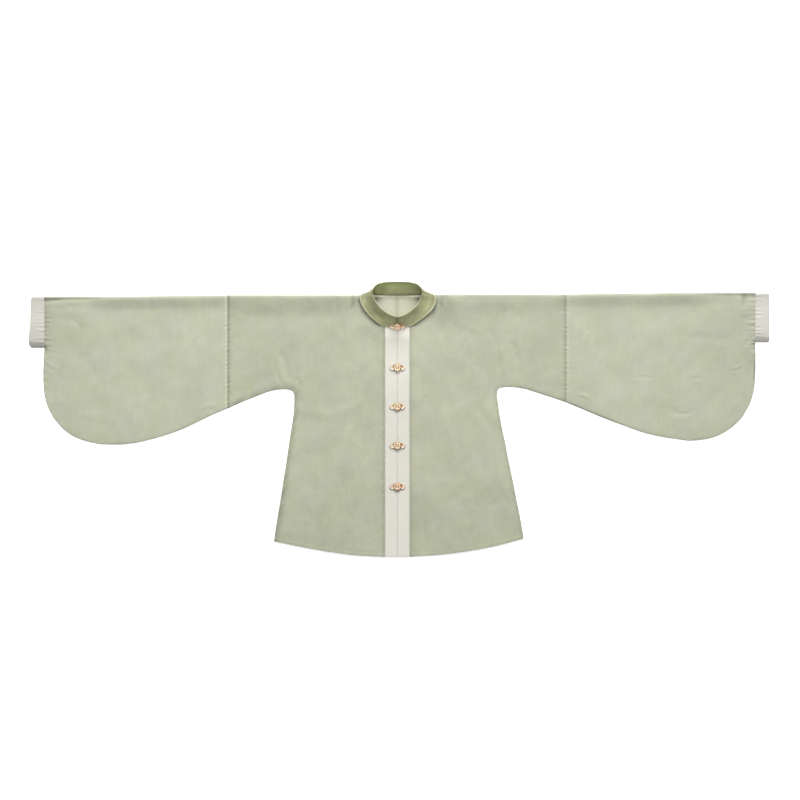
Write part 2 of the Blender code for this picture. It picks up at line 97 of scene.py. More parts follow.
# %% Lights and floor
KEY_SUN = {"strength": 3.7, "rise": 34.0, "turn": 4.0, "spread": 22.0}
HIGH_SUN = {"strength": 0.6, "rise": 88.0, "turn": 0.0, "spread": 70.0}
SOFTBOX = {"place": (0.0, 0.95, 1.75), "size": 0.9, "power": 11.0}
SPOT = {"place": (0.0, -0.5, 0.85), "target": (-0.005, 0.232, 0.02), "spread": 6.8, "power": 52.0,
        "softness": 0.12}
FILL_STRENGTH = 0.3
FLOOR_HALF = 12.0
FLOOR_DROP = 0.0002
TABLE_GLOW = 0.4
WHITE = (1.0, 1.0, 1.0, 1.0)


def add_light(name, kind, place, target=(0.0, 0.0, 0.0), **settings):
    """Add a light that shines from a place at a target."""
    data = bpy.data.lights.new(name, kind)
    for key, value in settings.items():
        setattr(data, key, value)
    light = bpy.data.objects.new(name, data)
    light.location = place
    light.rotation_euler = (Vector(target) - Vector(place)).to_track_quat("-Z", "Y").to_euler()
    bpy.context.scene.collection.objects.link(light)
    return light


def add_sun(name, strength, rise, turn, spread):
    """A light of even strength from beyond the collar. rise, turn and spread are angles in degrees."""
    rise, turn = math.radians(rise), math.radians(turn)
    place = (math.sin(turn) * math.cos(rise), math.cos(turn) * math.cos(rise), math.sin(rise))
    add_light(name, "SUN", place, energy=strength, angle=math.radians(spread))


def linear(red, green, blue):
    """Turn a screen colour of 0 to 255 into the shader's linear colour."""
    return tuple(((v / 255 + 0.055) / 1.055) ** 2.4 for v in (red, green, blue)) + (1.0,)


add_sun("key_sun", **KEY_SUN)
add_sun("high_sun", **HIGH_SUN)
softbox = add_light("softbox", "AREA", SOFTBOX["place"], size=SOFTBOX["size"], energy=SOFTBOX["power"])
softbox.visible_camera = False
add_light("collar_spot", "SPOT", SPOT["place"], SPOT["target"], energy=SPOT["power"], spot_blend=1.0,
          spot_size=math.radians(SPOT["spread"]), shadow_soft_size=SPOT["softness"])
world = bpy.data.worlds.new("fill")
world.use_nodes = True
world.node_tree.nodes["Background"].inputs["Color"].default_value = WHITE
world.node_tree.nodes["Background"].inputs["Strength"].default_value = FILL_STRENGTH
bpy.context.scene.world = world
bpy.context.scene.view_settings.view_transform = "Standard"

floor_mesh = bpy.data.meshes.new("floor")
corners = [(x * FLOOR_HALF, y * FLOOR_HALF, -FLOOR_DROP) for x, y in ((-1, -1), (1, -1), (1, 1), (-1, 1))]
floor_mesh.from_pydata(corners, [], [(0, 1, 2, 3)])
floor = bpy.data.objects.new("floor", floor_mesh)
bpy.context.scene.collection.objects.link(floor)
paper = bpy.data.materials.new("floor_paper")
paper.use_nodes = True
for key, value in (("Base Color", linear(251, 251, 251)), ("Roughness", 0.9), ("Specular IOR Level", 0.1),
                   ("Emission Color", WHITE), ("Emission Strength", TABLE_GLOW)):
    paper.node_tree.nodes["Principled BSDF"].inputs[key].default_value = value
floor_mesh.materials.append(paper)
floor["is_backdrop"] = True

# %% [markdown]
# ## The lay
# The jacket is drawn as it lies: x runs outwards from the centre front, and drop runs from the shoulder
# line towards the hem. Each row of a table is a line across a piece, from its upper end to its side seam.
# The front and the back are one cut of cloth folded over the shoulder line, so each body half and each
# sleeve is a flattened tube. The tables are the ones that the solids were made from. A smooth curve through
# their rows gives finer rows here.

# %% Tables of the lay
CENTRE_FRONT_X = -4.8
SHOULDER_Y = 322.3
SIDES = {"left": 1, "right": -1}

BODY_COLUMNS = "front_x front_drop back_x back_drop side_x side_drop roll end"
BODY_SECTIONS = {
    "right": (
        (439.85, 0, 439.85, 0, 439.85, 294, 1.0, 0),
        (400, 0, 400, 0, 402, 277, 1.0, 0),
        (360, 0, 360, 0, 364, 262, 1.0, 0),
        (318, 0, 318, 0, 332, 250, 1.0, 0),
        (274, 0, 274, 0, 308, 245.5, 1.0, 0),
        (228, 0, 228, 0, 291, 244.6, 1.0, 0),
        (182, 0, 182, 0, 280, 246.5, 0.95, 0),
        (140, 0, 140, 0, 274, 249, 0.8, 0),
        (100, 0, 100, 0, 271.4, 251.4, 0.5, 0),
        (97, 9, 94, 0, 270.8, 252.5, 0.0, 0),
        (86, 35, 72, 0, 269.6, 255, 0.0, 0),
        (71, 53, 46, 0, 268.4, 259, 0.0, 0),
        (53, 68, 22, 0, 267.9, 264, 0.0, 0),
        (32.3, 82, 0.15, 0, 267.9, 271, 0.0, 0),
        (32.3, 125, 0.15, 55, 268.6, 292, 0.0, 0),
        (32.3, 170, 0.15, 112, 270.8, 316, 0.0, 0),
        (32.3, 220, 0.15, 176, 275.5, 347, 0.0, 0),
        (32.3, 275, 0.15, 243, 281.8, 387, 0.0, 0),
        (32.3, 335, 0.15, 313, 288.4, 433, 0.0, 0),
        (32.3, 400, 0.15, 385, 296, 480, 0.0, 0),
        (32.3, 468, 0.15, 460, 303.7, 530, 0.0, 0),
        (32.3, 540, 0.15, 536, 311.8, 577, 0.0, 0.1),
        (32.3, 611, 0.15, 609, 317.5, 614, 0.0, 0.5),
        (32.3, 680.9, 0.15, 680, 321.2, 640, 0.0, 1),
    ),
    "left": (
        (437.85, -1.7, 437.85, -1.7, 437.85, 278.2, 1.0, 0),
        (400, -1.7, 400, -1.7, 402, 266, 1.0, 0),
        (360, -1.7, 360, -1.7, 364, 253.8, 1.0, 0),
        (318, -1.8, 318, -1.8, 330, 243.4, 1.0, 0),
        (274, -1.9, 274, -1.9, 304, 239.4, 1.0, 0),
        (228, -2, 228, -2, 285, 238.8, 1.0, 0),
        (182, -2, 182, -2, 273, 240, 0.95, 0),
        (140, -1.8, 140, -1.8, 266.5, 241.6, 0.8, 0),
        (100, -0.8, 100, -0.8, 263, 243.8, 0.5, 0),
        (98.4, 8.5, 94, -0.5, 262, 245, 0.0, 0),
        (91, 35, 72, 0, 260.6, 247.5, 0.0, 0),
        (73, 53, 46, 0, 259.4, 252, 0.0, 0),
        (53, 68, 22, 0, 259.1, 258, 0.0, 0),
        (32.3, 82, 0.15, 0, 259.9, 266, 0.0, 0),
        (32.3, 125, 0.15, 55, 263, 288, 0.0, 0),
        (32.3, 170, 0.15, 112, 266.8, 314, 0.0, 0),
        (32.3, 220, 0.15, 176, 272.6, 346, 0.0, 0),
        (32.3, 275, 0.15, 243, 281, 385, 0.0, 0),
        (32.3, 335, 0.15, 313, 289.6, 430, 0.0, 0),
        (32.3, 400, 0.15, 385, 299.8, 478, 0.0, 0),
        (32.3, 468, 0.15, 460, 309.2, 527, 0.0, 0),
        (32.3, 540, 0.15, 536, 318.8, 573, 0.0, 0.1),
        (32.3, 611, 0.15, 609, 325, 609, 0.0, 0.5),
        (32.3, 680.2, 0.15, 680, 328.6, 633, 0.0, 1),
    ),
}

TUBE_COLUMNS = "fold_x fold_drop side_x side_drop roll end"
SLEEVE_SECTIONS = {
    "right": (
        (440.15, 0, 440.15, 294, 1.0, 0),
        (480, 0.8, 478, 310, 1.0, 0),
        (522, 1.2, 518, 329, 1.0, 0),
        (564, 1.8, 558, 348, 1.0, 0),
        (606, 2.3, 598, 362.5, 1.0, 0),
        (648, 2.8, 640, 374.8, 1.0, 0.02),
        (690, 3.4, 682, 384.2, 1.0, 0.06),
        (732, 3.6, 724, 388.5, 1.0, 0.12),
        (774, 3.6, 764, 387.8, 1.0, 0.22),
        (814, 3.6, 802, 381.2, 1.0, 0.38),
        (852, 3.7, 836, 369.5, 0.9, 0.6),
        (886, 4.1, 867, 348.8, 0.7, 0.82),
        (916.2, 4.4, 891.9, 321.2, 0.5, 1),
        (917.4, 4.4, 893, 320, 0.5, 1),
    ),
    "left": (
        (438.15, -1.7, 438.15, 278.3, 1.0, 0),
        (480, -2.9, 478, 294.8, 1.0, 0),
        (522, -4.1, 518, 311.8, 1.0, 0),
        (564, -4.5, 558, 327.6, 1.0, 0),
        (606, -4.7, 598, 342.6, 1.0, 0),
        (648, -5, 638, 356.6, 1.0, 0.02),
        (692, -5.6, 680, 366.8, 1.0, 0.06),
        (736, -6.2, 722, 373.6, 1.0, 0.12),
        (778, -6.7, 762, 378.2, 1.0, 0.22),
        (820, -6.9, 800, 374.6, 1.0, 0.38),
        (860, -6.9, 835, 364.2, 0.9, 0.6),
        (897, -6.9, 868, 344.6, 0.7, 0.82),
        (929.45, -6.9, 895.9, 318.2, 0.5, 1),
        (930.65, -6.9, 897, 317, 0.5, 1),
    ),
}
CUFF_SECTIONS = {
    "right": (
        (917.7, 4.6, 917.7, 136.3, 0.5, 0),
        (925, 4.5, 925, 136.6, 0.45, 0),
        (935, 4.5, 936, 136.8, 0.4, 0.1),
        (944, 4.6, 946, 136.6, 0.35, 0.5),
        (949.5, 5, 951.5, 135.8, 0.3, 1),
    ),
    "left": (
        (930.95, -5.2, 930.95, 122, 0.5, 0),
        (940, -5.2, 940, 122.3, 0.45, 0),
        (950, -5.2, 950, 122.4, 0.4, 0.1),
        (959, -5.2, 959.5, 122.4, 0.35, 0.5),
        (965, -5, 965.2, 122.2, 0.3, 1),
    ),
}

EDGE_COLUMNS = "share x drop"
CUFF_SHARE = 0.41
HEM_EDGE = {
    "right": ((0, 32.3, 680.9), (0.25, 104.5, 677.1), (0.5, 176.7, 667.6), (0.75, 249, 654.9),
              (1, 321.2, 640)),
    "left": ((0, 32.3, 680.2), (0.25, 106.3, 675.6), (0.5, 180.4, 666.2), (0.75, 254.5, 652.3),
             (1, 328.6, 633)),
}
WRIST_EDGE = {
    "right": ((0, 917.4, 4.4), (CUFF_SHARE, 917.4, 136.4), (0.5, 919.2, 164), (0.62, 920.5, 204),
              (0.75, 918.8, 246), (0.88, 911, 283), (1, 893, 320)),
    "left": ((0, 930.65, -6.9), (CUFF_SHARE, 930.65, 122.2), (0.5, 931.5, 152), (0.62, 931.2, 194),
             (0.75, 928.4, 238), (0.88, 919, 276), (1, 897, 317)),
}
CUFF_EDGE = {
    "right": ((0, 949.5, 5), (0.07, 952.6, 14), (0.5, 954.4, 70), (0.85, 958, 116), (0.94, 957, 128),
              (1, 951.5, 135.8)),
    "left": ((0, 965, -5), (0.07, 967.3, 4), (0.5, 967.6, 60), (0.85, 967.5, 106), (0.94, 967, 115),
             (1, 965.2, 122.2)),
}
print("sections of a body half and of a sleeve:", len(BODY_SECTIONS["left"]), len(SLEEVE_SECTIONS["left"]))

# %% Curves and places


def table(columns, rows):
    """Turn rows of sizes into one array for each named column."""
    return dict(zip(columns.split(), np.array(rows, dtype=float).T))


def ease(share):
    """Go smoothly from 0 to 1."""
    share = np.clip(share, 0.0, 1.0)
    return share * share * (3.0 - 2.0 * share)


def fade_out(distance, start, reach):
    """Go smoothly from 1 to 0, over the reach beyond the start."""
    return 1.0 - ease((distance - start) / reach)


def edge_line(distance, width):
    """1 on a line, fading to 0 within a few times the width."""
    return np.exp(-(distance / width) ** 2)


def round_in(distance, radius):
    """The height of a quarter circle, from 0 at its foot to 1 at the distance of its radius."""
    return np.sqrt(1.0 - (1.0 - np.clip(distance / radius, 0.0, 1.0)) ** 2)


def curve(at, knots, values):
    """Follow a smooth curve through the knots that never overshoots them."""
    widths = np.diff(knots)
    slopes = np.diff(values) / widths
    tangents = np.concatenate(([slopes[0]], np.zeros(len(slopes) - 1), [slopes[-1]]))
    for k in range(1, len(slopes)):
        if slopes[k - 1] * slopes[k] > 0:
            tangents[k] = 2.0 * slopes[k - 1] * slopes[k] / (slopes[k - 1] + slopes[k])
    k = np.clip(np.searchsorted(knots, at, side="right") - 1, 0, len(widths) - 1)
    t = (at - knots[k]) / widths[k]
    bend_in = tangents[k] * widths[k] * t * (1 - t) ** 2
    bend_out = tangents[k + 1] * widths[k] * t ** 2 * (1 - t)
    return values[k] * (1 + 2 * t) * (1 - t) ** 2 + values[k + 1] * t * t * (3 - 2 * t) + bend_in - bend_out


def to_world(x, drop, z, side):
    """Place points of the lay in the world, in metres."""
    places = ((CENTRE_FRONT_X + side * x) * MM, (SHOULDER_Y - drop) * MM, z * MM)
    return np.stack(np.broadcast_arrays(*places), axis=-1)


# %% [markdown]
# ## Cloth tubes
# Silk this thin has no shape of its own when it lies: what shows is the rolled fold over the shoulder, the
# way the cloth is pressed flat at its seams, and small creases. A grid of points is the simplest way to
# have all of them under control: each row of the grid is one line across the piece, and its height is
# worked out from how far the point is from the fold and from each seam. A wall is then added to the inside
# with a Solidify modifier.

# %% Heights of the cloth
SILK_WALL = 0.8
PRESSED_HEIGHT = 2.8
SWELL_HEIGHT = 1.3
SWELL_START = 22.0
SWELL_REACH = 80.0
ROLL_HEIGHT = 2.8
ROLL_CREST = 6.0
ROLL_FALL = 30.0
BODY_FALL = 22.0
FOLD_MIDDLE = 2.4
SEWN_MIDDLE = 1.4
SEWN_ROUND = 2.4
SLIT_TAPER = 8.0
LOWEST_FRONT = 1.75
TUBE_WELD = 2e-6
TUBE_ABOVE = 0.0002


def front_height(from_fold, from_seam, from_end, roll, fall):
    """Height of the front cloth: pressed at the seams, swelling between them, and rolled at the shoulder."""
    swell = SWELL_HEIGHT * ease((from_fold - SWELL_START) / SWELL_REACH)
    swell = swell * ease(from_seam / SWELL_REACH) * ease(from_end / SWELL_REACH)
    return PRESSED_HEIGHT + swell + ROLL_HEIGHT * roll * fade_out(from_fold, ROLL_CREST, fall)


# %% [markdown]
# ## Creases
# The photograph shows few creases: soft troughs that run up from each underarm, a dent in the cloth beside
# the collar, short puckers where the sleeve is gathered into its cuff, and small ripples along every seam.
# Each crease is one row of a table. Ripples follow a rule, so a function makes them: they
# fade with the distance from their seam and their spacing drifts, as it does where thread pulls the cloth.

# %% Table of creases
CREASE_COLUMNS = "x1 drop1 x2 drop2 bow width height"
CREASES = {
    "right": (
        (303, 146, 283, 236, 5, 9, -0.9),
        (318, 176, 297, 240, -3, 6, -0.5),
        (250, 138, 240, 276, -7, 13, 0.6),
        (262, 214, 250, 240, 0, 7, -0.7),
        (114, 2, 116, 40, 2, 5, -0.8),
        (160, 2, 161, 24, 1, 5, -0.5),
        (272, 290, 86, 276, -26, 16, 0.55),
        (154, 488, 140, 604, 6, 7, 0.4),
        (141, 548, 112, 586, -4, 5, -0.3),
        (236, 560, 200, 640, 5, 12, -0.4),
        (90, 330, 104, 470, 6, 15, -0.35),
        (914, 168, 896, 183, -3, 3, 0.4),
        (910, 184, 886, 197, -4, 3.5, -0.35),
        (905, 150, 872, 158, 3, 6, -0.2),
        (915, 131, 898, 143, 3, 3, -0.4),
        (911, 122, 898, 129, 2, 2.5, 0.3),
        (934, 14.6, 868, 13, 0, 4.5, -0.85),
        (884, 11.5, 770, 10, 0, 4, -0.45),
        (862, 32, 838, 30, 2, 3.5, -0.45),
        (846, 66, 822, 92, 4, 6, -0.3),
        (66, 62, 36, 106, 2, 3.2, -0.7),
        (870, 62, 800, 86, 6, 11, -0.4),
        (838, 150, 760, 240, 9, 18, -0.5),
        (700, 70, 640, 110, 5, 14, 0.35),
        (560, 120, 548, 250, 9, 18, 0.4),
        (520, 300, 470, 286, 4, 7, 0.5),
        (820, 330, 740, 350, 8, 14, -0.4),
        (660, 200, 655, 330, 8, 16, -0.35),
    ),
    "left": (
        (249, 97, 257, 222, -9, 9, -0.9),
        (297, 120, 312, 186, -5, 8, -0.9),
        (270, 128, 286, 214, 4, 8, 0.5),
        (121, 2, 131, 82, -5, 12, -1.2),
        (146, 60, 210, 92, 5, 12, 0.4),
        (226, 262, 120, 300, -14, 18, 0.4),
        (206, 292, 268, 352, 7, 12, -0.45),
        (70, 318, 96, 460, -8, 15, -0.35),
        (262, 500, 300, 548, 6, 10, -0.5),
        (150, 470, 166, 600, 7, 14, 0.35),
        (60, 560, 82, 668, 4, 8, -0.3),
        (928, 110, 903, 124, 1.5, 2.2, -1.1),
        (917, 102, 893, 117, 1.5, 2.4, 0.35),
        (924, 119, 899, 132, 1.5, 2.4, -0.7),
        (930, 58, 884, 56, -2, 7, -0.5),
        (902, 0, 898, 34, -3, 6, -1.1),
        (880, 112, 726, 98, -7, 12, -0.35),
        (900, 179, 866, 188, -4, 3.5, 0.35),
        (902, 186, 862, 198, -4, 3.5, -0.35),
        (888, 194, 860, 206, -3, 3, 0.25),
        (926, 172, 915, 226, 3, 7, -0.8),
        (770, 302, 708, 300, -4, 9, -0.7),
        (760, 302, 728, 301, 0, 4, 0.6),
        (792, 218, 755, 219, 2, 4, -0.4),
        (664, 217, 612, 216, 3, 4, -0.35),
        (494, 96, 488, 130, 2, 6, 0.7),
        (498, 268, 472, 258, 2, 5, 0.6),
        (620, 120, 600, 240, 10, 18, 0.35),
        (850, 240, 800, 320, 8, 15, -0.4),
    ),
}
DENT_SHARE = 0.45
DENT_REACH = 2.2
CREASE_GAIN = 1.5


def crease_relief(side_name, x, drop):
    """Height that the creases add: each has a soft middle, a low shoulder beside it, and ends that fade."""
    relief = np.zeros(np.broadcast(x, drop).shape)
    for x1, drop1, x2, drop2, bow, width, height in CREASES[side_name]:
        length = math.hypot(x2 - x1, drop2 - drop1)
        along_x, along_drop = (x2 - x1) / length, (drop2 - drop1) / length
        share = ((x - x1) * along_x + (drop - drop1) * along_drop) / length
        off = (x - x1) * -along_drop + (drop - drop1) * along_x - bow * 4.0 * share * (1.0 - share)
        fade = ease(share * 3.0 + 0.35) * ease((1.0 - share) * 2.0 + 0.35)
        dent = edge_line(off, width) * (1.0 + DENT_SHARE) - edge_line(off, DENT_REACH * width) * DENT_SHARE
        relief += CREASE_GAIN * height * fade * dent
    return relief


# %% Ripples along seams


def ripples(along, spacing, start):
    """An uneven wave along a seam, from -1 to 1: its spacing drifts and some of its crests are lower."""
    drift = 0.9 * np.sin(along / spacing * 0.9 + start * 1.7) + 0.6 * np.sin(along / spacing * 2.3 + start)
    size = 0.62 + 0.38 * np.sin(along / spacing * 1.45 + start * 2.9)
    return np.sin(2.0 * math.pi * along / spacing + drift + start) * size


def seam_ripple(from_seam, along, reach, spacing, height, start):
    """Ripples that are highest just beside the seam and fade away from it."""
    return height * ripples(along, spacing, start) * edge_line(from_seam, reach)


WAVES = (
    (0.31, 118.0, 0.4, 0.16), (1.45, 86.0, 2.1, 0.12), (2.25, 64.0, 4.0, 0.09), (0.87, 47.0, 1.2, 0.06),
    (2.85, 39.0, 5.2, 0.05), (1.12, 31.0, 3.3, 0.035),
)


def slack(x, drop):
    """The faint unevenness of cloth that lies loose, as a few long crossing waves."""
    return sum(height * np.sin(2.0 * math.pi * (x * math.cos(turn) + drop * math.sin(turn)) / length + start)
               for turn, length, start, height in WAVES)


print("creases placed by hand:", sum(len(rows) for rows in CREASES.values()))

# %% [markdown]
# ## From tables to grids
# A piece's grid needs close rows near a fold or a seam, where the cloth turns, and wide ones between them.
# The same distances are then used for the heights, the ripples and the colour of the cloth near a seam, so
# each of these is an array with one value for each point of the grid.

# %% Grids of points
NEAR_FOLD = (0, 0.35, 0.8, 1.4, 2.2, 3.2, 4.5, 6, 8, 10.5, 13.5, 17, 20.5, 24, 27.5, 31, 35, 40)
NEAR_SEAM = (0, 0.5, 1.1, 1.9, 3.0, 4.6, 6.8, 9.6, 13)
CENTRE_SEAM = 0.02
HIDDEN_NEAR_FOLD = (0, 0.8, 1.6, 2.4, 4.5, 8, 13, 20, 31, 40)
HIDDEN_NEAR_SEAM = (0, 0.6, 1.3, 2.4, 4.5, 8, 13)
BODY_SPACING = {"front": 3.3, "back": 12.0}
SLEEVE_SPACING = {"front": 3.3, "back": 3.3}


def steps_between(total, spacing, near_start, near_end):
    """Distances from 0 to the total: close together at both ends, and evenly spaced between them."""
    count = max(2, round((total - near_start[-1] - near_end[-1]) / spacing))
    middle = np.linspace(near_start[-1], total - near_end[-1], count + 1)
    return np.concatenate((near_start[:-1], middle, total - np.array(near_end[-2::-1])))


def finer_sections(cut, spacing):
    """Read a smooth curve through the rows of a table, at close places near both ends of the piece."""
    upper = np.hypot(np.diff(cut["front_x"]), np.diff(cut["front_drop"]))
    lower = np.hypot(np.diff(cut["side_x"]), np.diff(cut["side_drop"]))
    knots = np.concatenate(([0.0], np.cumsum(np.maximum(upper, lower))))
    folded = np.where(cut["roll"] > 0, 1.0, 0.0)
    places = steps_between(knots[-1], spacing, NEAR_SEAM, NEAR_SEAM)
    fine = {name: curve(places, knots, values) for name, values in cut.items()}
    fine["folded"] = np.interp(places, knots, folded)
    fine["back_x"] = np.where(fine["back_x"] < 1.0, CENTRE_SEAM, fine["back_x"])
    for axis in ("_x", "_drop"):
        fine["back" + axis] = np.where(fine["folded"] == 1.0, fine["front" + axis], fine["back" + axis])
    return fine


def bow_of_edge(edge, share):
    """How far an end edge bows out from the straight line between its ends."""
    straight_x = edge["x"][0] + share * (edge["x"][-1] - edge["x"][0])
    straight_drop = edge["drop"][0] + share * (edge["drop"][-1] - edge["drop"][0])
    return (curve(share, edge["share"], edge["x"]) - straight_x,
            curve(share, edge["share"], edge["drop"]) - straight_drop)


def grid_of_layer(cut, edge, layer, spacing):
    """Lay one layer's points: their places, and how far each is from the fold, the seam and both ends."""
    upper = np.stack((cut[layer + "_x"], cut[layer + "_drop"]), axis=-1)
    lower = np.stack((cut["side_x"], cut["side_drop"]), axis=-1)
    length = np.linalg.norm(lower - upper, axis=-1)
    typical = float(length.max())
    hidden = spacing[layer] > spacing["front"]
    near_fold, near_seam = (HIDDEN_NEAR_FOLD, HIDDEN_NEAR_SEAM) if hidden else (NEAR_FOLD, NEAR_SEAM)
    template = steps_between(typical, spacing[layer], near_fold, near_seam)
    first, last = NEAR_FOLD[-1], NEAR_SEAM[-1]
    middle = (template > first) & (template < typical - last)
    share_of_middle = (template - first) / (typical - first - last)
    from_fold = np.tile(template, (len(length), 1))
    from_fold[:, middle] = first + share_of_middle[middle] * (length[:, None] - first - last)
    ends = template >= typical - last
    from_fold[:, ends] = length[:, None] - (typical - template[ends])
    share = from_fold / length[:, None]
    bow_x, bow_drop = bow_of_edge(edge, share)
    x = upper[:, :1] + (lower - upper)[:, :1] * share + bow_x * cut["end"][:, None]
    drop = upper[:, 1:] + (lower - upper)[:, 1:] * share + bow_drop * cut["end"][:, None]
    return SimpleNamespace(
        x=x, drop=drop, share=share, from_fold=from_fold, from_side=length[:, None] - from_fold,
        from_first=np.hypot(x - x[0], drop - drop[0]), from_last=np.hypot(x - x[-1], drop - drop[-1]),
        roll=cut["roll"][:, None], folded=cut["folded"][:, None], hidden=layer == "back")


# %% Shape both layers of a tube


def layer_heights(grid, layer, relief, sewn_end, to_end, fall):
    """Heights of one layer: the fold turns up from the back, and the sewn edges close in a round lip."""
    closed = round_in(grid.from_side, SEWN_ROUND)
    if sewn_end is not None:
        sewn = ease((grid.share - sewn_end) * grid.from_fold.max() / SLIT_TAPER)
        closed = closed * (1.0 - sewn * (1.0 - round_in(grid.from_last, SEWN_ROUND)))
    if layer == "front":
        height = front_height(grid.from_fold, grid.from_side, to_end, grid.roll, fall) + relief
        height = np.maximum(height, LOWEST_FRONT)
        turn = FOLD_MIDDLE + (height - FOLD_MIDDLE) * round_in(grid.from_fold, ROLL_CREST)
    else:
        height = np.maximum(relief, 0.0)
        turn = FOLD_MIDDLE + (height - FOLD_MIDDLE) * round_in(grid.from_fold, FOLD_MIDDLE)
    height = height + (turn - height) * grid.folded
    return SEWN_MIDDLE + (height - SEWN_MIDDLE) * closed


def make_mesh(name, points, faces, uvs=None, **numbers):
    """Make a mesh with the cloth's own coordinates, and with some numbers for each point."""
    mesh = bpy.data.meshes.new(name)
    mesh.from_pydata(points.tolist(), [], faces)
    if uvs is not None:
        corners = np.array([point for face in faces for point in face])
        mesh.uv_layers.new(name="cloth").data.foreach_set("uv", uvs[corners].reshape(-1).astype(np.float32))
    for key, values in numbers.items():
        mesh.attributes.new(key, "FLOAT", "POINT").data.foreach_set("value", values.astype(np.float32))
    return mesh


def clean_mesh(mesh, weld=None, top=None):
    """Weld points that coincide, and turn the faces outwards. Those above the top have to face up."""
    shape = bmesh.new()
    shape.from_mesh(mesh)
    if weld:
        bmesh.ops.remove_doubles(shape, verts=shape.verts, dist=weld)
    if top is None:
        bmesh.ops.recalc_face_normals(shape, faces=shape.faces)
    else:
        upper = [face for face in shape.faces if face.calc_center_median().z > top]
        if sum(face.normal.z * face.calc_area() for face in upper) < 0:
            bmesh.ops.reverse_faces(shape, faces=shape.faces)
    shape.to_mesh(mesh)
    shape.free()
    return mesh


def grid_faces(index):
    """Quads between the rows of an array of point numbers."""
    return np.stack((index[:-1, :-1], index[1:, :-1], index[1:, 1:], index[:-1, 1:]), axis=-1).reshape(-1, 4)


def mesh_of_grids(name, layers, side):
    """Make one mesh from both layers of a tube, and weld the fold and the seams."""
    points, faces, uvs, tones, start = [], [], [], [], 0
    for layer, grid in layers.items():
        quads = grid_faces(start + np.arange(grid.x.size).reshape(grid.x.shape))
        start += grid.x.size
        faces.append(quads[:, ::-1] if (side > 0) == (layer == "front") else quads)
        points.append(to_world(grid.x, grid.drop, grid.z, side).reshape(-1, 3))
        down = grid.drop if layer == "front" else -grid.drop
        uvs.append(np.stack((side * grid.x * MM, -down * MM), axis=-1).reshape(-1, 2))
        tones.append(np.broadcast_to(grid.tone, grid.x.shape).reshape(-1))
    mesh = make_mesh(name, np.concatenate(points), np.concatenate(faces).tolist(), np.concatenate(uvs),
                     tone=np.concatenate(tones))
    return clean_mesh(mesh, weld=TUBE_WELD, top=SEWN_MIDDLE * MM + TUBE_ABOVE)


# %% Walls and smooth shading
SHARP_ANGLE = math.radians(48)


def as_plain_mesh(thing):
    """Apply an object's modifiers to its mesh, and shade it smooth but for its sharp edges."""
    graph = bpy.context.evaluated_depsgraph_get()
    mesh = bpy.data.meshes.new_from_object(thing.evaluated_get(graph))
    thing.modifiers.clear()
    thing.data = mesh
    mesh.shade_smooth()
    mesh.set_sharp_from_angle(angle=SHARP_ANGLE)
    return thing


def add_object(name, mesh, *materials):
    """Put a mesh in the scene with its materials."""
    for material in materials:
        mesh.materials.append(material)
    thing = bpy.data.objects.new(name, mesh)
    bpy.context.scene.collection.objects.link(thing)
    return thing


def give_wall(thing, thickness):
    """Thicken a sheet of cloth to its inside. The inner face takes the next material."""
    solidify = thing.modifiers.new("wall", "SOLIDIFY")
    solidify.thickness = thickness * MM
    solidify.offset = -1.0
    solidify.use_quality_normals = True
    solidify.material_offset = 1
    return as_plain_mesh(thing)


# %% [markdown]
# ## Silk, satin and metal
# The jacket's green is a thin satin-weave silk with a small flower woven in the same colour, which only
# shows where the light catches it. A fabric like this is best made of layers: a base colour, slow drifts of
# colour, fine streaks where single threads are thicker, the woven flowers, and a bump for the weave. The
# flowers are also painted a little lighter, a painted sheen. A tone attribute on the mesh paints light and
# shade by the cloth's place: painted shade in seams, below the shoulder roll and in corners, and painted
# highlights on raised edges and folds.

# %% Helpers for shader nodes


class Wire:
    """A number that flows through a node tree, so that arithmetic with it reads like arithmetic."""

    def __init__(self, tree, socket):
        self.tree = tree
        self.socket = socket

    def step(self, operation, other=0.0):
        """One Math node, with this number as its first input."""
        made = add_node(self.tree, "ShaderNodeMath", {0: self, 1: other}, operation=operation)
        return Wire(self.tree, made.outputs[0])

    def __add__(self, other):
        return self.step("ADD", other)

    def __sub__(self, other):
        return self.step("SUBTRACT", other)

    def __mul__(self, other):
        return self.step("MULTIPLY", other)

    def __truediv__(self, other):
        return self.step("DIVIDE", other)


def fill_inputs(tree, node, values):
    """Fill a node's inputs with numbers and colours, or with what flows out of other nodes."""
    for key, value in values.items():
        value = value.socket if isinstance(value, Wire) else value
        if isinstance(value, bpy.types.NodeSocket):
            tree.links.new(value, node.inputs[key])
        else:
            node.inputs[key].default_value = value


def add_node(tree, kind, values=None, **settings):
    """Add a node with its settings and its inputs."""
    made = tree.nodes.new(kind)
    for name, value in settings.items():
        setattr(made, name, value)
    fill_inputs(tree, made, values or {})
    return made


def new_material(name):
    """An empty material with its node tree and its Principled shader."""
    material = bpy.data.materials.new(name)
    material.use_nodes = True
    return material, material.node_tree, material.node_tree.nodes["Principled BSDF"]


def attribute(tree, name):
    """A number that the mesh has at each of its points."""
    return Wire(tree, add_node(tree, "ShaderNodeAttribute", attribute_name=name,
                               attribute_type="GEOMETRY").outputs["Fac"])


def noise(tree, at, scale, detail, roughness=0.5):
    """Soft noise from 0 to 1."""
    return Wire(tree, add_node(tree, "ShaderNodeTexNoise", {
        "Vector": at, "Scale": scale, "Detail": detail, "Roughness": roughness}).outputs["Fac"])


def stretched_noise(tree, at, along, across):
    """Noise that is drawn out along the threads. along and across are sizes in metres."""
    scaled = add_node(tree, "ShaderNodeMapping", {"Vector": at, "Scale": (1 / across, 1 / along, 1.0)})
    return noise(tree, scaled.outputs[0], scale=1.0, detail=2.0)


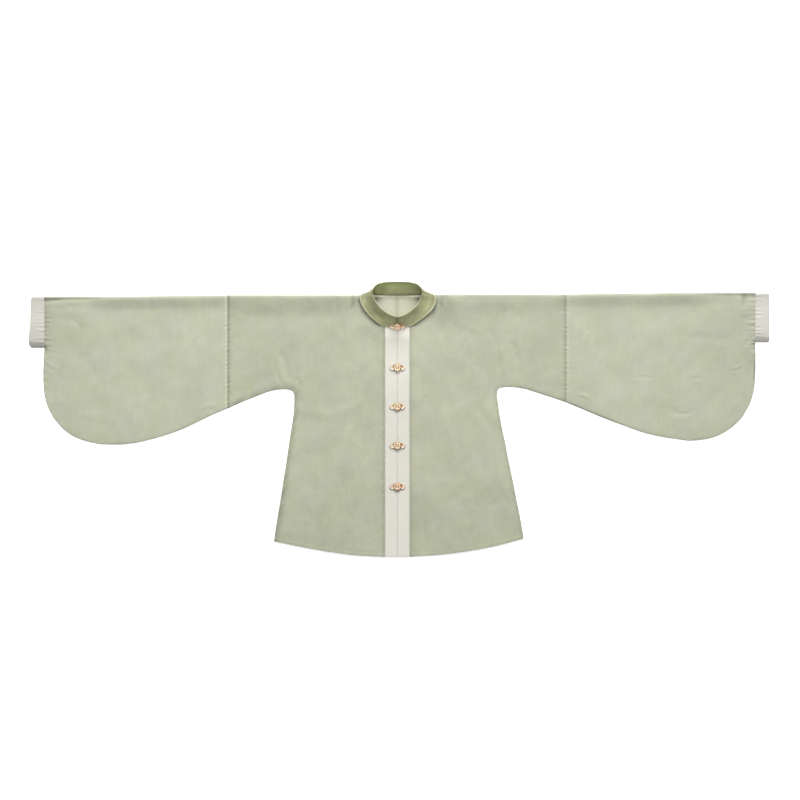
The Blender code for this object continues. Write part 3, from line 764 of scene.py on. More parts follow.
def wave(tree, at, scale, distortion=0.0):
    """Slanting waves from 0 to 1."""
    made = add_node(tree, "ShaderNodeTexWave", {"Vector": at, "Scale": scale, "Distortion": distortion},
                    bands_direction="DIAGONAL")
    return Wire(tree, made.outputs["Fac"])


def rise_between(value, low, high, kind="LINEAR"):
    """Go from 0 to 1 while a number goes from low to high."""
    made = add_node(value.tree, "ShaderNodeMapRange", {"Value": value, "From Min": low, "From Max": high},
                    interpolation_type=kind)
    return Wire(value.tree, made.outputs[0])


def mix(tree, share, first, second, blend="MIX"):
    """Mix two colours."""
    return add_node(tree, "ShaderNodeMix", {0: share, 6: first, 7: second}, data_type="RGBA",
                    blend_type=blend).outputs[2]


def lit(tree, colour, light):
    """A colour, made brighter or darker by a number."""
    grey = add_node(tree, "ShaderNodeCombineColor", {0: light, 1: light, 2: light})
    return mix(tree, 1.0, colour, grey.outputs[0], "MULTIPLY")


def bump(tree, height, strength, distance):
    """Fine relief for a shader's Normal."""
    made = add_node(tree, "ShaderNodeBump", {"Height": height, "Strength": strength, "Distance": distance})
    return made.outputs[0]


def shifted(colour, *shares):
    """A colour with each of its channels multiplied."""
    return tuple(v * share for v, share in zip(colour, shares)) + (1.0,)


# %% A woven flower
REPEAT_WIDE = 0.118
REPEAT_HIGH = 0.104
FLOWER_SIZE = 0.0125
HEART_SHARE = 0.28
PETAL_SHARE = 0.24
LEAF_PLACE = (0.0155, -0.0115)
LEAF_SIZE = (0.0085, 0.0034)
LEAF_TURN = math.radians(38)
BLUR = 0.0012


def fade_at(inside):
    """Turn a distance inside an outline into a soft-edged 0 to 1."""
    return rise_between(inside, -BLUR, BLUR, "SMOOTHSTEP")


def woven_flowers(tree, cloth):
    """A five-petalled flower over two leaves, in a half-drop repeat: 1 on the flower and 0 beside it."""
    split = add_node(tree, "ShaderNodeSeparateXYZ", {0: cloth})
    across = Wire(tree, split.outputs[0]) / REPEAT_WIDE
    down = Wire(tree, split.outputs[1]) / REPEAT_HIGH + across.step("FLOOR").step("FLOORED_MODULO", 2.0) * 0.5
    x = (across.step("FRACT") - 0.5) * REPEAT_WIDE
    y = (down.step("FRACT") - 0.5) * REPEAT_HIGH
    radius = (x * x + y * y).step("SQRT")
    petal = (x.step("ARCTAN2", y) * 5.0).step("COSINE") * (PETAL_SHARE * FLOWER_SIZE)
    flower = fade_at(petal + (1.0 - PETAL_SHARE) * FLOWER_SIZE - radius)
    heart = fade_at(radius * -1.0 + HEART_SHARE * FLOWER_SIZE)
    leaf_x = x.step("ABSOLUTE") - LEAF_PLACE[0]
    leaf_y = y - LEAF_PLACE[1]
    long = (leaf_x * math.cos(LEAF_TURN) + leaf_y * math.sin(LEAF_TURN)) / LEAF_SIZE[0]
    short = leaf_y * math.cos(LEAF_TURN) - leaf_x * math.sin(LEAF_TURN)
    leaf = fade_at(long * long * -LEAF_SIZE[1] + LEAF_SIZE[1] - short.step("ABSOLUTE"))
    return (flower - heart).step("MAXIMUM", leaf).step("MAXIMUM", 0.0)


# %% Silk
SILK_ROUGHNESS = 0.52
SILK_STREAKS = 0.05
THREAD = 0.00045
THREAD_DEPTH = 0.00006


def make_silk(name, colour, flowers=0.05, drift=0.11):
    """Thin satin-weave silk. flowers and drift are shares of brightness."""
    material, tree, shader = new_material(name)
    cloth = add_node(tree, "ShaderNodeUVMap", uv_map="cloth").outputs[0]
    slow = noise(tree, cloth, scale=9.0, detail=2.0, roughness=0.55)
    patch = noise(tree, cloth, scale=34.0, detail=4.0, roughness=0.7)
    slub = stretched_noise(tree, cloth, along=0.07, across=0.0042)
    warp = stretched_noise(tree, cloth, along=0.045, across=0.0009)
    weft = stretched_noise(tree, cloth, along=0.0011, across=0.03)
    pattern = woven_flowers(tree, cloth) * rise_between(slow, 0.4, 0.62)
    # The tone attribute paints light and shade; the woven flowers are painted a little lighter, a painted
    # sheen.
    light = attribute(tree, "tone") + 1.0 + pattern * flowers
    for uneven, share in ((slow, drift), (patch, drift), (slub, SILK_STREAKS), (warp, SILK_STREAKS * 0.7),
                          (weft, SILK_STREAKS * 0.5)):
        light = light + (uneven - 0.5) * (share * 2.0)
    turned = rise_between(noise(tree, cloth, scale=15.0, detail=3.0, roughness=0.6), 0.34, 0.66)
    base = mix(tree, turned, shifted(colour, 0.995, 1.003, 0.93), shifted(colour, 1.0, 0.998, 1.035))
    weave = wave(tree, cloth, 1 / THREAD / math.pi, distortion=1.5)
    fill_inputs(tree, shader, {
        "Base Color": lit(tree, base, light), "Roughness": pattern * -0.1 + warp * 0.06 + SILK_ROUGHNESS,
        "Normal": bump(tree, weave + warp * 1.4 + weft, 0.35, THREAD_DEPTH),
        "Sheen Weight": 0.18, "Sheen Roughness": 0.45, "Specular IOR Level": 0.32})
    return material


def tinted(red, green, blue, light=1.0):
    """A screen colour as the shader's linear colour, with the light's strength taken out."""
    return tuple(v / light for v in linear(red, green, blue)[:3]) + (1.0,)


LIGHT_LEVEL = 1.44
silk_body = make_silk("sage_silk_body", tinted(190, 193, 169, LIGHT_LEVEL), drift=0.14)
silk_sleeve = make_silk("sage_silk_sleeve", tinted(196, 199, 176, LIGHT_LEVEL))
# The inside silk is paler: painted light, for the floor's white that shows through one layer of thin silk.
silk_inside = make_silk("sage_silk_inside", tinted(210, 209, 189, LIGHT_LEVEL), flowers=-0.02)
# The collar's silk is darker and more olive than the body's: partly the doubled, lined cloth, partly painted
# light for the colour that light takes as it bounces between the collar's faces. Its inside is greener still,
# painted the same way.
silk_collar = make_silk("sage_silk_collar", tinted(186, 187, 143, LIGHT_LEVEL), drift=0.2)
silk_collar_inside = make_silk("sage_silk_collar_inside", tinted(181, 187, 134, LIGHT_LEVEL), drift=0.24)

# %% Satin for the bands and cuffs


def make_satin(name, colour, drift=0.06):
    """Smooth ivory satin with a fine crosswise rib."""
    material, tree, shader = new_material(name)
    cloth = add_node(tree, "ShaderNodeUVMap", uv_map="cloth").outputs[0]
    slow = noise(tree, cloth, scale=38.0, detail=3.0, roughness=0.6)
    rib = stretched_noise(tree, cloth, along=0.0008, across=0.02)
    light = attribute(tree, "tone") + 1.0 + (slow - 0.5) * (drift * 2.0) + (rib - 0.5) * 0.05
    hue = noise(tree, cloth, scale=21.0, detail=2.0)
    base = mix(tree, hue, shifted(colour, 1.01, 1.0, 0.965), shifted(colour, 0.985, 1.0, 1.03))
    fill_inputs(tree, shader, {
        "Base Color": lit(tree, base, light), "Roughness": rib * 0.12 + 0.42,
        "Normal": bump(tree, slow * 6.0 + rib, 0.4, 0.0001), "Sheen Weight": 0.1, "Specular IOR Level": 0.3})
    return material


band_satin = make_satin("ivory_band_satin", tinted(229, 226, 214, LIGHT_LEVEL))
cuff_satin = make_satin("ivory_cuff_satin", tinted(222, 219, 209, LIGHT_LEVEL), drift=0.08)

# %% [markdown]
# ## Body and sleeves
# Each body half is one cut: front, back and upper sleeve, folded along the shoulder. The lower sleeve is
# sewn to it in a seam that stands out in the photograph: the cloth dips into it, with a light edge on the
# sleeve's side and a dark one on the body's. At the wrist the sleeve is gathered into the cuff, so short
# puckers run in from it.
# The light edge and the dark one at this seam are a painted highlight and painted shade beside the dip.

# %% Soft lines, soft places and rows of ripples


def soft_lines(grid, rows):
    """Add up soft lines. A row: what it is measured from, how far away it is, its width and strength."""
    return sum(strength * edge_line(getattr(grid, key) - away, wide) for key, away, wide, strength in rows)


def soft_places(grid, rows):
    """Add up soft oval places. A row: x and drop of its middle, half-sizes along both, and its strength."""
    return sum(strength * edge_line(grid.x - x, wide) * edge_line(grid.drop - drop, high)
               for x, drop, wide, high, strength in rows)


def seam_ripples(grid, rows, side):
    """Add up ripples. A row: its seam, what runs along it, reach, spacing, height, start, turn by side."""
    return sum(
        seam_ripple(getattr(grid, key), getattr(grid, along), reach, spacing, height, start + turn * side)
        for key, along, reach, spacing, height, start, turn in rows)


def length_along(x, drop):
    """The distance along each row of the grid, from its first section."""
    steps = np.hypot(np.diff(x, axis=0), np.diff(drop, axis=0))
    return np.concatenate((np.zeros((1, x.shape[1])), np.cumsum(steps, axis=0)))


# %% Relief of the body halves
HEM_FOLD = 10.0
SEAM_PUCKER = 11.5
BODY_RIPPLES = (
    ("from_first", "drop", 8.0, SEAM_PUCKER, 0.6, 0, 1),
    ("from_side", "down", 11.0, 21.0, 0.6, 1, 1),
    ("from_last", "x", 12.0, 24.0, 0.4, 3, 0),
)
BODY_DIPS = (("from_first", 0, 3.0, -0.7), ("from_last", HEM_FOLD, 2.0, -0.3))
BAND_SEAM_RIPPLES = (("from_fold", "down", 9.0, 17.0, 0.5, 2, 1),)
BAND_SEAM_DIPS = (("from_fold", 0, 3.0, -0.5),)


def body_relief(side_name, grid, side):
    """Creases, ripples along every seam, and the shallow line of the hem's stitches."""
    relief = crease_relief(side_name, grid.x, grid.drop) + slack(side * grid.x, grid.drop)
    relief = relief + seam_ripples(grid, BODY_RIPPLES, side) + soft_lines(grid, BODY_DIPS)
    at_band = seam_ripples(grid, BAND_SEAM_RIPPLES, side) + soft_lines(grid, BAND_SEAM_DIPS)
    return relief + (1.0 - grid.folded) * at_band


# %% Tones of the body halves
SHOULDER_SHADE = 0.1
SHOULDER_SHARE = {"right": 1.0, "left": 0.6}
BAND_EDGE_X = 33.0
NECK_SHADE = 0.45
NECK_LINE = 7.2
BESIDE_COLLAR = ((114.5, 16.0, 6.0, 17.0, -0.22),)
NECK_HOLE_X = 75.0
NECK_HOLE_LIGHT = 0.07
NECK_CORNER = ((56.0, 10.0, 9.0, 6.0, -0.6),)
NECK_HOLE_LINES = (("drop", 8.0, 3.0, -0.12), ("x", 0.0, 3.4, -0.12))
FACING_LIGHT = 0.9
SIDE_SEAM_SHADE = {"right": 0.34, "left": 0.16}
SIDE_SEAM_REACH = {"right": 11.0, "left": 6.0}
SLEEVE_SEAM_SHADE = {"right": 0.33, "left": 0.2}
SLEEVE_SEAM_LIGHT = {"right": 0.2, "left": 0.08}
LOW_SHADE = 0.07
BAND_SEAM_SHADE = {"right": 0.16, "left": 0.07}
ARM_EDGE_SHADE = {"right": 0.06, "left": 0.17}
# A painted highlight along the hem's fold and painted shade at the hem's edge.
HEM_LINES = (("from_last", HEM_FOLD, 2.2, 0.09), ("from_last", 1.5, 3.4, -0.12))
# Painted light and shade on the body: x, drop, half-sizes along both, strength.
BODY_LIGHT_AND_SHADE = {
    "right": ((76, 96, 24, 24, -0.2), (110, 34, 8, 12, -0.14), (54, 122, 13, 24, -0.1)),
    "left": ((121, 50, 40, 32, -0.24), (160, 60, 26, 16, -0.08), (140, 9, 26, 7, 0.16),
             (270, 13, 100, 6, 0.12)),
}


def shoulder_shade(grid, hold, fall):
    """Painted shade below the shoulder roll, where the cloth slopes away from the light, and at the fold's
    edge, with a painted highlight on the roll's crest.
    """
    below = ease((grid.from_fold - 5.0) / 8.0) * fade_out(grid.from_fold, hold, fall)
    rim = soft_lines(grid, (("from_fold", 4.5, 2.0, 0.05), ("from_fold", 0.0, 2.0, -0.07)))
    return grid.folded * (rim - SHOULDER_SHADE * below)


def neck_shade(grid):
    """Painted shade in a dark line beside the collar and a dark place by it. In the neck hole: painted light
    over it, painted shade in its corners and under the collar, a dark centre-back seam, and a pale facing
    along the back, lifted by painted light out of the collar's shadow.
    """
    if not grid.hidden:
        at_neck = (1.0 - grid.folded) * ease((grid.x[:, :1] - BAND_EDGE_X) / 8.0)
        beside = soft_places(grid, BESIDE_COLLAR)
        return beside - NECK_SHADE * at_neck * edge_line(grid.from_fold - 5.0, NECK_LINE)
    facing = FACING_LIGHT * edge_line(grid.drop - 2.4, 2.2) * (0.3 + 0.7 * ease((grid.x - 15.0) / 35.0))
    inside = NECK_HOLE_LIGHT + facing + soft_places(grid, NECK_CORNER) + soft_lines(grid, NECK_HOLE_LINES)
    return np.where(grid.x < NECK_HOLE_X, inside, 0.0)


def body_tone(side_name, grid):
    """Painted shade beside the side seam, the bands and the sleeve seam, towards the hem and below the
    shoulder roll; a painted highlight on the hem's fold and shade at its edge; painted light and shade in
    places.
    """
    side = SIDES[side_name]
    dashes = 1.0 + 0.6 * ripples(grid.drop, SEAM_PUCKER, side)
    from_seam = grid.from_first + 0.8 * ripples(grid.drop, 31.0, side)
    uneven_shade = 0.75 + 0.25 * ripples(grid.down, 47.0, 2.0 * side)
    sleeve_seam = SLEEVE_SEAM_SHADE[side_name] * dashes * edge_line(from_seam, 3.6)
    sleeve_seam = sleeve_seam + 0.06 * edge_line(from_seam, 9.0)
    near_side = edge_line(grid.from_side - 3.0, SIDE_SEAM_REACH[side_name])
    side_seam = SIDE_SEAM_SHADE[side_name] * uneven_shade * near_side
    arm = ease((grid.x - 300.0) / 30.0) * fade_out(grid.drop, 400.0, 40.0)
    arm_edge = ARM_EDGE_SHADE[side_name] * arm * edge_line(grid.from_side - 1.5, 2.8)
    wander = 4.0 + 2.0 * ripples(grid.down, 33.0, 1.0)
    band_seam = BAND_SEAM_SHADE[side_name] * uneven_shade * edge_line(grid.from_fold - wander, 3.4)
    band_seam = (1.0 - grid.folded) * (band_seam + 0.06 * edge_line(grid.from_fold, 14.0))
    hem = soft_lines(grid, HEM_LINES) * (0.7 + 0.3 * ripples(grid.x, 31.0, 2.0))
    light_and_shade = 0.0 if grid.hidden else soft_places(grid, BODY_LIGHT_AND_SHADE[side_name])
    shade = sleeve_seam + side_seam + arm_edge + band_seam + LOW_SHADE * ease((grid.drop - 420.0) / 180.0)
    shoulder = shoulder_shade(grid, 34.0, 46.0) * SHOULDER_SHARE[side_name]
    return hem + light_and_shade + shoulder + neck_shade(grid) - shade


# %% Make the body halves
BACK_RELIEF_SHARE = 0.35


def make_tube(name, side_name, cut, edge, spacing, relief_of, tone_of, wall, materials, sewn_end=None,
              more_fall=0.0):
    """Make one flattened tube of cloth from its table, and keep its front grid for the stitches."""
    side = SIDES[side_name]
    fine = finer_sections(cut, spacing["front"])
    layers = {}
    for layer in ("front", "back"):
        grid = grid_of_layer(fine, edge, layer, spacing)
        to_end = SWELL_REACH
        if sewn_end is not None:
            to_end = fine["front_x"][-1:, None] - fine["front_x"][:, None]
        grid.down = length_along(grid.x, grid.drop)
        relief = relief_of(side_name, grid, side)
        if layer == "back":
            relief = relief * BACK_RELIEF_SHARE
        inner = ease(grid.from_side / 5.0) * (1.0 - grid.folded * fade_out(grid.from_fold, 0.0, 7.0))
        fall = ROLL_FALL + more_fall * ease(grid.from_first / 60.0)
        grid.z = layer_heights(grid, layer, relief * inner, sewn_end, to_end, fall)
        grid.tone = tone_of(side_name, grid)
        layers[layer] = grid
    tube = add_object(name, mesh_of_grids(name, layers, side), *materials)
    give_wall(tube, wall)
    print(name, "triangles:", sum(len(face.vertices) - 2 for face in tube.data.polygons))
    return tube, layers


bodies, body_grids = {}, {}
for side_name in SIDES:
    bodies[side_name], body_grids[side_name] = make_tube(
        "body_%s_cloth" % side_name, side_name, table(BODY_COLUMNS, BODY_SECTIONS[side_name]),
        table(EDGE_COLUMNS, HEM_EDGE[side_name]), BODY_SPACING, body_relief, body_tone, SILK_WALL,
        (silk_body, silk_inside), more_fall=BODY_FALL)

# %% Sleeves
PUCKER_SPACING = 12.5
PUCKER_HEIGHT = {"right": 0.9, "left": 1.2}
WRIST_SHADE = {"right": 0.22, "left": 0.05}
WRIST_LIGHT = 0.15
FOLD_LINE_SHADE = 0.24
CORNER_FOLD_SHADE = {"right": 0.24, "left": 0.14}
# Painted light and shade on the sleeves: x, drop, half-sizes along both, strength.
SLEEVE_LIGHT_AND_SHADE = {
    "right": ((868, 32, 10, 4, -0.08), (820, 78, 10, 8, -0.1), (846, 150, 26, 14, 0.05),
              (700, 150, 34, 20, 0.05), (560, 90, 30, 24, 0.05), (520, 210, 24, 34, -0.05)),
    "left": ((901, 8, 6, 20, -0.2), (900, 60, 14, 8, -0.08), (918, 150, 16, 30, -0.05),
             (880, 300, 20, 14, -0.07), (640, 90, 34, 20, 0.05), (560, 240, 30, 24, 0.05),
             (500, 120, 22, 34, 0.05)),
}
CORNER_SHADE = 0.45
EDGE_SHADOW = {"right": 0.06, "left": 0.45}
EDGE_SHADOW_DROP = 192.0
LOWER_EDGE_SHADE = {"right": 0.04, "left": 0.32}
SLEEVE_RIPPLES = (
    ("from_first", "drop", 8.0, SEAM_PUCKER, 0.6, 0, 1),
    ("from_side", "down", 10.0, 23.0, 0.55, 1, 1),
)
SLEEVE_DIPS = (("from_first", 3.5, 2.5, 0.3), ("from_first", 0, 1.2, -0.5))
BELOW_CUFF_RIPPLES = (("from_last", "drop", 11.0, 19.0, 0.5, 0, 1),)
SLEEVE_EDGE_LINES = (("from_side", 1.5, 4.5, -0.09), ("from_side", 0, 14.0, -0.05))


def sleeve_relief(side_name, grid, side):
    """Creases, ripples along the seams, and the puckers where the sleeve is gathered into its cuff."""
    relief = crease_relief(side_name, grid.x, grid.drop) + slack(side * grid.x, grid.drop)
    relief = relief + soft_lines(grid, SLEEVE_DIPS) + seam_ripples(grid, SLEEVE_RIPPLES, side)
    at_cuff = fade_out(grid.share, CUFF_SHARE, 0.04)
    height = PUCKER_HEIGHT[side_name]
    puckers = seam_ripple(grid.from_last, grid.drop, 16.0, PUCKER_SPACING, height, 1.0 + side)
    puckers = puckers - 0.5 * edge_line(grid.from_last, 3.0)
    return relief + at_cuff * puckers + (1.0 - at_cuff) * seam_ripples(grid, BELOW_CUFF_RIPPLES, side)


def sleeve_tone(side_name, grid):
    """Painted highlights along the sleeve seam and beside the fold near the wrist; painted shade towards the
    wrist, in the gathers and corners, along the fold and the lower edges, and painted light and shade in
    places.
    """
    dashes = 1.0 + 0.8 * ripples(grid.drop, SEAM_PUCKER, SIDES[side_name])
    gather = 0.75 + 0.25 * ripples(grid.drop, PUCKER_SPACING, 2.0)
    at_cuff = fade_out(grid.share, CUFF_SHARE, 0.02)
    near_wrist = fade_out(grid.from_last, 90.0, 90.0)
    light = SLEEVE_SEAM_LIGHT[side_name] * dashes * edge_line(grid.from_first - 5.2, 2.4)
    pressed = ease((grid.from_fold - 6.0) / 6.0) * fade_out(grid.from_fold, 20.0, 30.0)
    light = light + WRIST_LIGHT * near_wrist * pressed
    shade = 0.8 * SLEEVE_SEAM_SHADE[side_name] * edge_line(grid.from_first, 2.2)
    shade = shade + 0.035 * fade_out(grid.from_last, 0.0, 230.0)
    shade = shade + at_cuff * WRIST_SHADE[side_name] * gather * edge_line(grid.from_last, 17.0)
    shade = shade + (1.0 - at_cuff) * 0.1 * edge_line(grid.from_last, 3.6)
    shade = shade + CORNER_SHADE * edge_line(grid.share - CUFF_SHARE, 0.03) * edge_line(grid.from_last, 8.0)
    at_edge = edge_line(grid.from_last - 1.5, 4.0) * edge_line(grid.drop - EDGE_SHADOW_DROP, 26.0)
    shade = shade + EDGE_SHADOW[side_name] * at_edge
    shade = shade + 0.09 * edge_line(grid.from_fold, 2.8) * edge_line(grid.from_last, 300.0)
    near_seam = fade_out(grid.from_first, 110.0, 90.0)
    shade = shade + LOWER_EDGE_SHADE[side_name] * near_seam * edge_line(grid.from_side - 1.5, 2.8)
    along_fold = fade_out(grid.from_last, 60.0, 100.0) * edge_line(grid.from_fold - 5.0, 3.2)
    at_corner = fade_out(grid.from_last, 25.0, 30.0) * edge_line(grid.from_fold - 8.0, 4.0)
    shade = shade + FOLD_LINE_SHADE * along_fold + CORNER_FOLD_SHADE[side_name] * at_corner
    shoulder = shoulder_shade(grid, 26.0, 30.0) * ease(grid.from_first / 40.0) * (1.0 - near_wrist)
    light_and_shade = soft_lines(grid, SLEEVE_EDGE_LINES) + soft_places(grid, SLEEVE_LIGHT_AND_SHADE[side_name])
    return light_and_shade + light - shade + shoulder


def tube_table(rows):
    """Read a tube's table: its front and back meet in one fold."""
    cut = table(TUBE_COLUMNS, rows)
    for layer in ("front", "back"):
        cut[layer + "_x"] = cut["fold_x"]
        cut[layer + "_drop"] = cut["fold_drop"]
    return cut


sleeves, sleeve_grids = {}, {}
for side_name in SIDES:
    sleeves[side_name], sleeve_grids[side_name] = make_tube(
        "sleeve_%s_cloth" % side_name, side_name, tube_table(SLEEVE_SECTIONS[side_name]),
        table(EDGE_COLUMNS, WRIST_EDGE[side_name]), SLEEVE_SPACING, sleeve_relief, sleeve_tone, SILK_WALL,
        (silk_sleeve, silk_inside), sewn_end=CUFF_SHARE)

# %% [markdown]
# ## Cuffs
# The cuffs are short ivory tubes. Their lower edge is rolled under, and its shade is painted as a grey strip;
# the puckers of the sleeve run a little way into them.

# %% Make the cuffs
CUFF_SPACING = {"front": 2.0, "back": 2.0}
CUFF_WALL = 1.0
CUFF_LOW_SHADE = {"right": 0.35, "left": 0.31}
CUFF_LIGHT = {"right": 0.0, "left": 0.05}
CUFF_RIPPLES = (
    ("from_first", "drop", 15.0, PUCKER_SPACING * 0.8, 0.8, 1.6, 1),
    ("from_last", "drop", 10.0, 17.0, 0.25, 0.4, -1),
)
CUFF_DIPS = (("from_first", 0, 2.0, -0.4), ("from_side", 19.0, 3.0, -0.7))
CUFF_LINES = (("from_side", 0, 9.0, -0.2), ("from_side", 18.0, 2.0, -0.12), ("from_last", 0, 3.0, -0.05))


def cuff_relief(side_name, grid, side):
    """Puckers from the wrist seam, a pressed edge at the opening, and a crease above the lower edge."""
    return seam_ripples(grid, CUFF_RIPPLES, side) + soft_lines(grid, CUFF_DIPS)


def cuff_tone(side_name, grid):
    """Painted shade: a grey lower strip where the edge rolls under, below a dark line, and a slightly grey
    upper edge; painted light and shade in the puckers at the seam.
    """
    lower = CUFF_LOW_SHADE[side_name] * fade_out(grid.from_side, 13.0, 6.0)
    upper = 0.13 * fade_out(grid.from_fold, 5.0, 12.0) + 0.06 * ease((grid.drop - 70.0) / 30.0)
    pucker = 0.1 * ripples(grid.drop, PUCKER_SPACING * 0.8, 1.6 + SIDES[side_name])
    pucker = pucker * edge_line(grid.from_first, 11.0)
    return CUFF_LIGHT[side_name] + soft_lines(grid, CUFF_LINES) + pucker - lower - upper


cuffs, cuff_grids = {}, {}
for side_name in SIDES:
    cuffs[side_name], cuff_grids[side_name] = make_tube(
        "cuff_%s_satin" % side_name, side_name, tube_table(CUFF_SECTIONS[side_name]),
        table(EDGE_COLUMNS, CUFF_EDGE[side_name]), CUFF_SPACING, cuff_relief, cuff_tone, CUFF_WALL,
        (cuff_satin, cuff_satin))

# %% [markdown]
# ## Front bands
# An ivory band edges each front. It is a strip folded double, so its edges are round and its middle is a
# little lower. It is made as a closed loop of points across the strip, repeated down the front.

# %% Make a closed strip
SEAM_GAP = 0.3
BAND_WIDTH = 31.7
BAND_TOP_DROP = 82.5
BAND_HEM_DROP = 680.4
BAND_BOTTOM = 1.3
BAND_TOP = 3.3
BAND_EDGE_HEIGHT = 0.9
BAND_ROUND = 0.9
BAND_GAP = 0.08
BAND_STEPS = 150
BAND_LIGHT = 0.36
BAND_SPOT_SHADE = 0.08
BAND_HEM_SHADE = 0.17
BAND_ACROSS = (0, 0.12, 0.35, 0.8, 1.6, 2.8, 4.5, 7, 10.5, 14, 17.7, 21.2, 24.7, 27.2, 28.9, 30.1, 30.9,
               31.35, 31.58, 31.7)


def loop_mesh(name, loops, uvs, tones):
    """Skin closed loops of points into one closed piece, with its two ends filled."""
    count, around = loops.shape[:2]
    index = np.arange(count * around).reshape(count, around)
    quads = grid_faces(np.concatenate((index, index[:, :1]), axis=1))
    faces = quads.tolist() + [index[0].tolist(), index[-1][::-1].tolist()]
    return clean_mesh(make_mesh(name, loops.reshape(-1, 3), faces, uvs.reshape(-1, 2),
                                tone=np.broadcast_to(tones, (count, around)).reshape(-1)))


def make_band(side_name):
    """One front band: its top is a soft satin surface with round edges, and its underside is flat."""
    side = SIDES[side_name]
    across = np.array(BAND_ACROSS)
    drop = np.linspace(BAND_TOP_DROP, BAND_HEM_DROP, BAND_STEPS)[:, None]
    from_edge = np.minimum(across, BAND_WIDTH - across)
    crown = np.minimum(round_in(across, BAND_ROUND / 3), round_in(BAND_WIDTH - across, BAND_ROUND))
    sway = 0.1 * np.sin(drop / 41.0 + across / 19.0 + side) + 0.07 * np.sin(drop / 17.0 - across / 11.0)
    pull = seam_ripple(BAND_WIDTH - across, drop, 7.0, 15.0, 0.22, 2.0 + side)
    pull = pull + seam_ripple(across, drop, 6.0, 24.0, 0.12, side)
    dip = -0.25 * ease(from_edge / 9.0)
    edge_z = BAND_BOTTOM + BAND_EDGE_HEIGHT
    top = edge_z + (BAND_TOP - edge_z) * crown + (sway + pull + dip) * ease(from_edge / 4.0)
    bottom = across[::-1][[0, 4, 10, 15, 19]]
    loop_x = np.concatenate((across, bottom))
    loop_x = BAND_GAP + loop_x * (SEAM_GAP + BAND_WIDTH - BAND_GAP) / BAND_WIDTH
    loop_z = np.concatenate((top, np.full((BAND_STEPS, len(bottom)), BAND_BOTTOM)), axis=1)
    points = to_world(loop_x, drop, loop_z, side)
    uvs = np.stack(np.broadcast_arrays(side * loop_x * MM, -drop * MM, loop_z)[:2], axis=-1)
    # Painted tones: shade along the outer edge and at the hem, painted light at the top, where the collar and
    # the first clasp cast their shadow, and painted shade where the collar's spot light falls.
    tones = np.concatenate((-0.06 * edge_line(BAND_WIDTH - across, 1.5), np.zeros(len(bottom))))[None, :]
    under_clasp = BAND_LIGHT * fade_out(drop, 88.0, 30.0)
    in_spot = BAND_SPOT_SHADE * ease((drop - 104.0) / 14.0) * fade_out(drop, 135.0, 45.0)
    tones = tones + under_clasp - in_spot - BAND_HEM_SHADE * edge_line(BAND_HEM_DROP - drop, 2.2)
    name = "front_band_%s_satin" % side_name
    return as_plain_mesh(add_object(name, loop_mesh(name, points, uvs, tones), band_satin)), points


bands, band_points = {}, {}
for side_name in SIDES:
    bands[side_name], band_points[side_name] = make_band(side_name)
print("band triangles:", sum(len(face.vertices) - 2 for face in bands["left"].data.polygons))

# %% [markdown]
# ## Stand collar
# The collar is one strip of silk doubled over a stiff lining. It leans inwards from the neck seam, so its
# outside shows all round the front and its inside shows at the back. Its free edge is turned and pressed, and
# a thin painted highlight runs along it. A sheet of points half-way through the strip is laid first. Its two
# faces then go to either side of it, and they meet in a round edge.

# %% Points of the collar
COLLAR_WIDTH = 46.0
COLLAR_CURL = 0.5
COLLAR_COLUMNS = "base_x base_drop base_z free_x free_drop"
COLLAR_STATIONS = {
    "right": (
        (0.2, 84.5, 4.7, 0.25, 58),
        (18, 84, 4.7, 12, 54),
        (37, 81, 4.7, 23, 49.5),
        (57, 69, 4.7, 34, 42),
        (73, 54.5, 4.7, 44, 33),
        (86.5, 37, 4.7, 54, 20),
        (95.5, 20, 5.3, 60.5, 8),
        (98.5, 6, 6.0, 64, -3),
        (86, -3.5, 5.6, 63.5, -13),
        (73, -2, 3.2, 58, -22.5),
        (55, 0, 2.3, 46, -29.8),
        (30, 0.8, 2.3, 24, -33.6),
        (0, 1, 2.3, 0, -34.2),
    ),
    "left": (
        (0.2, 84.5, 4.7, 0.25, 58),
        (18, 84, 4.7, 12, 54),
        (36, 81, 4.7, 23, 49.5),
        (56, 68.5, 4.7, 34, 42),
        (75, 54.5, 4.7, 44, 33),
        (92.5, 37, 4.7, 54, 20),
        (100.5, 20, 5.3, 60.5, 8),
        (101.8, 7, 6.0, 64, -3),
        (92, -1, 5.6, 63.5, -13),
        (77, -1, 3.2, 58, -22.5),
        (56, 0.2, 2.3, 46, -29.8),
        (30, 0.8, 2.3, 24, -33.6),
        (0, 1, 2.3, 0, -34.2),
    ),
}
COLLAR_STEPS = 10
# Painted light and shade: on the outside or not, place along (from the left end if negative), row, sizes,
# strength.
COLLAR_LIGHT_AND_SHADE = (
    (True, 44, 12, 10, 4, 0.3),
    (True, 62, 24, 14, 6, -0.14),
    (True, 20, 16, 9, 5, 0.12),
    (True, 84, 30, 14, 7, -0.12),
    (True, 104, 14, 12, 5, 0.12),
    (True, 98, 9, 10, 4, 0.4),
    (True, -37, 20, 9, 3.5, 0.28),
    (True, -26, 12, 9, 4, 0.14),
    (True, -66, 30, 16, 7, -0.16),
    (True, -96, 14, 13, 5, 0.16),
    (True, -81, 11, 12, 5, 0.22),
    (False, 160, 16, 7, 15, -0.28),
    (False, 181, 24, 11, 12, 0.2),
    (False, 204, 34, 8, 6, 0.1),
    (False, 226, 27, 9, 6, 0.08),
    (False, 246, 15, 13, 13, -0.25),
)
COLLAR_HALF = 1.0
PIPING_WIDTH = 3.2
PIPING_START = 74.0
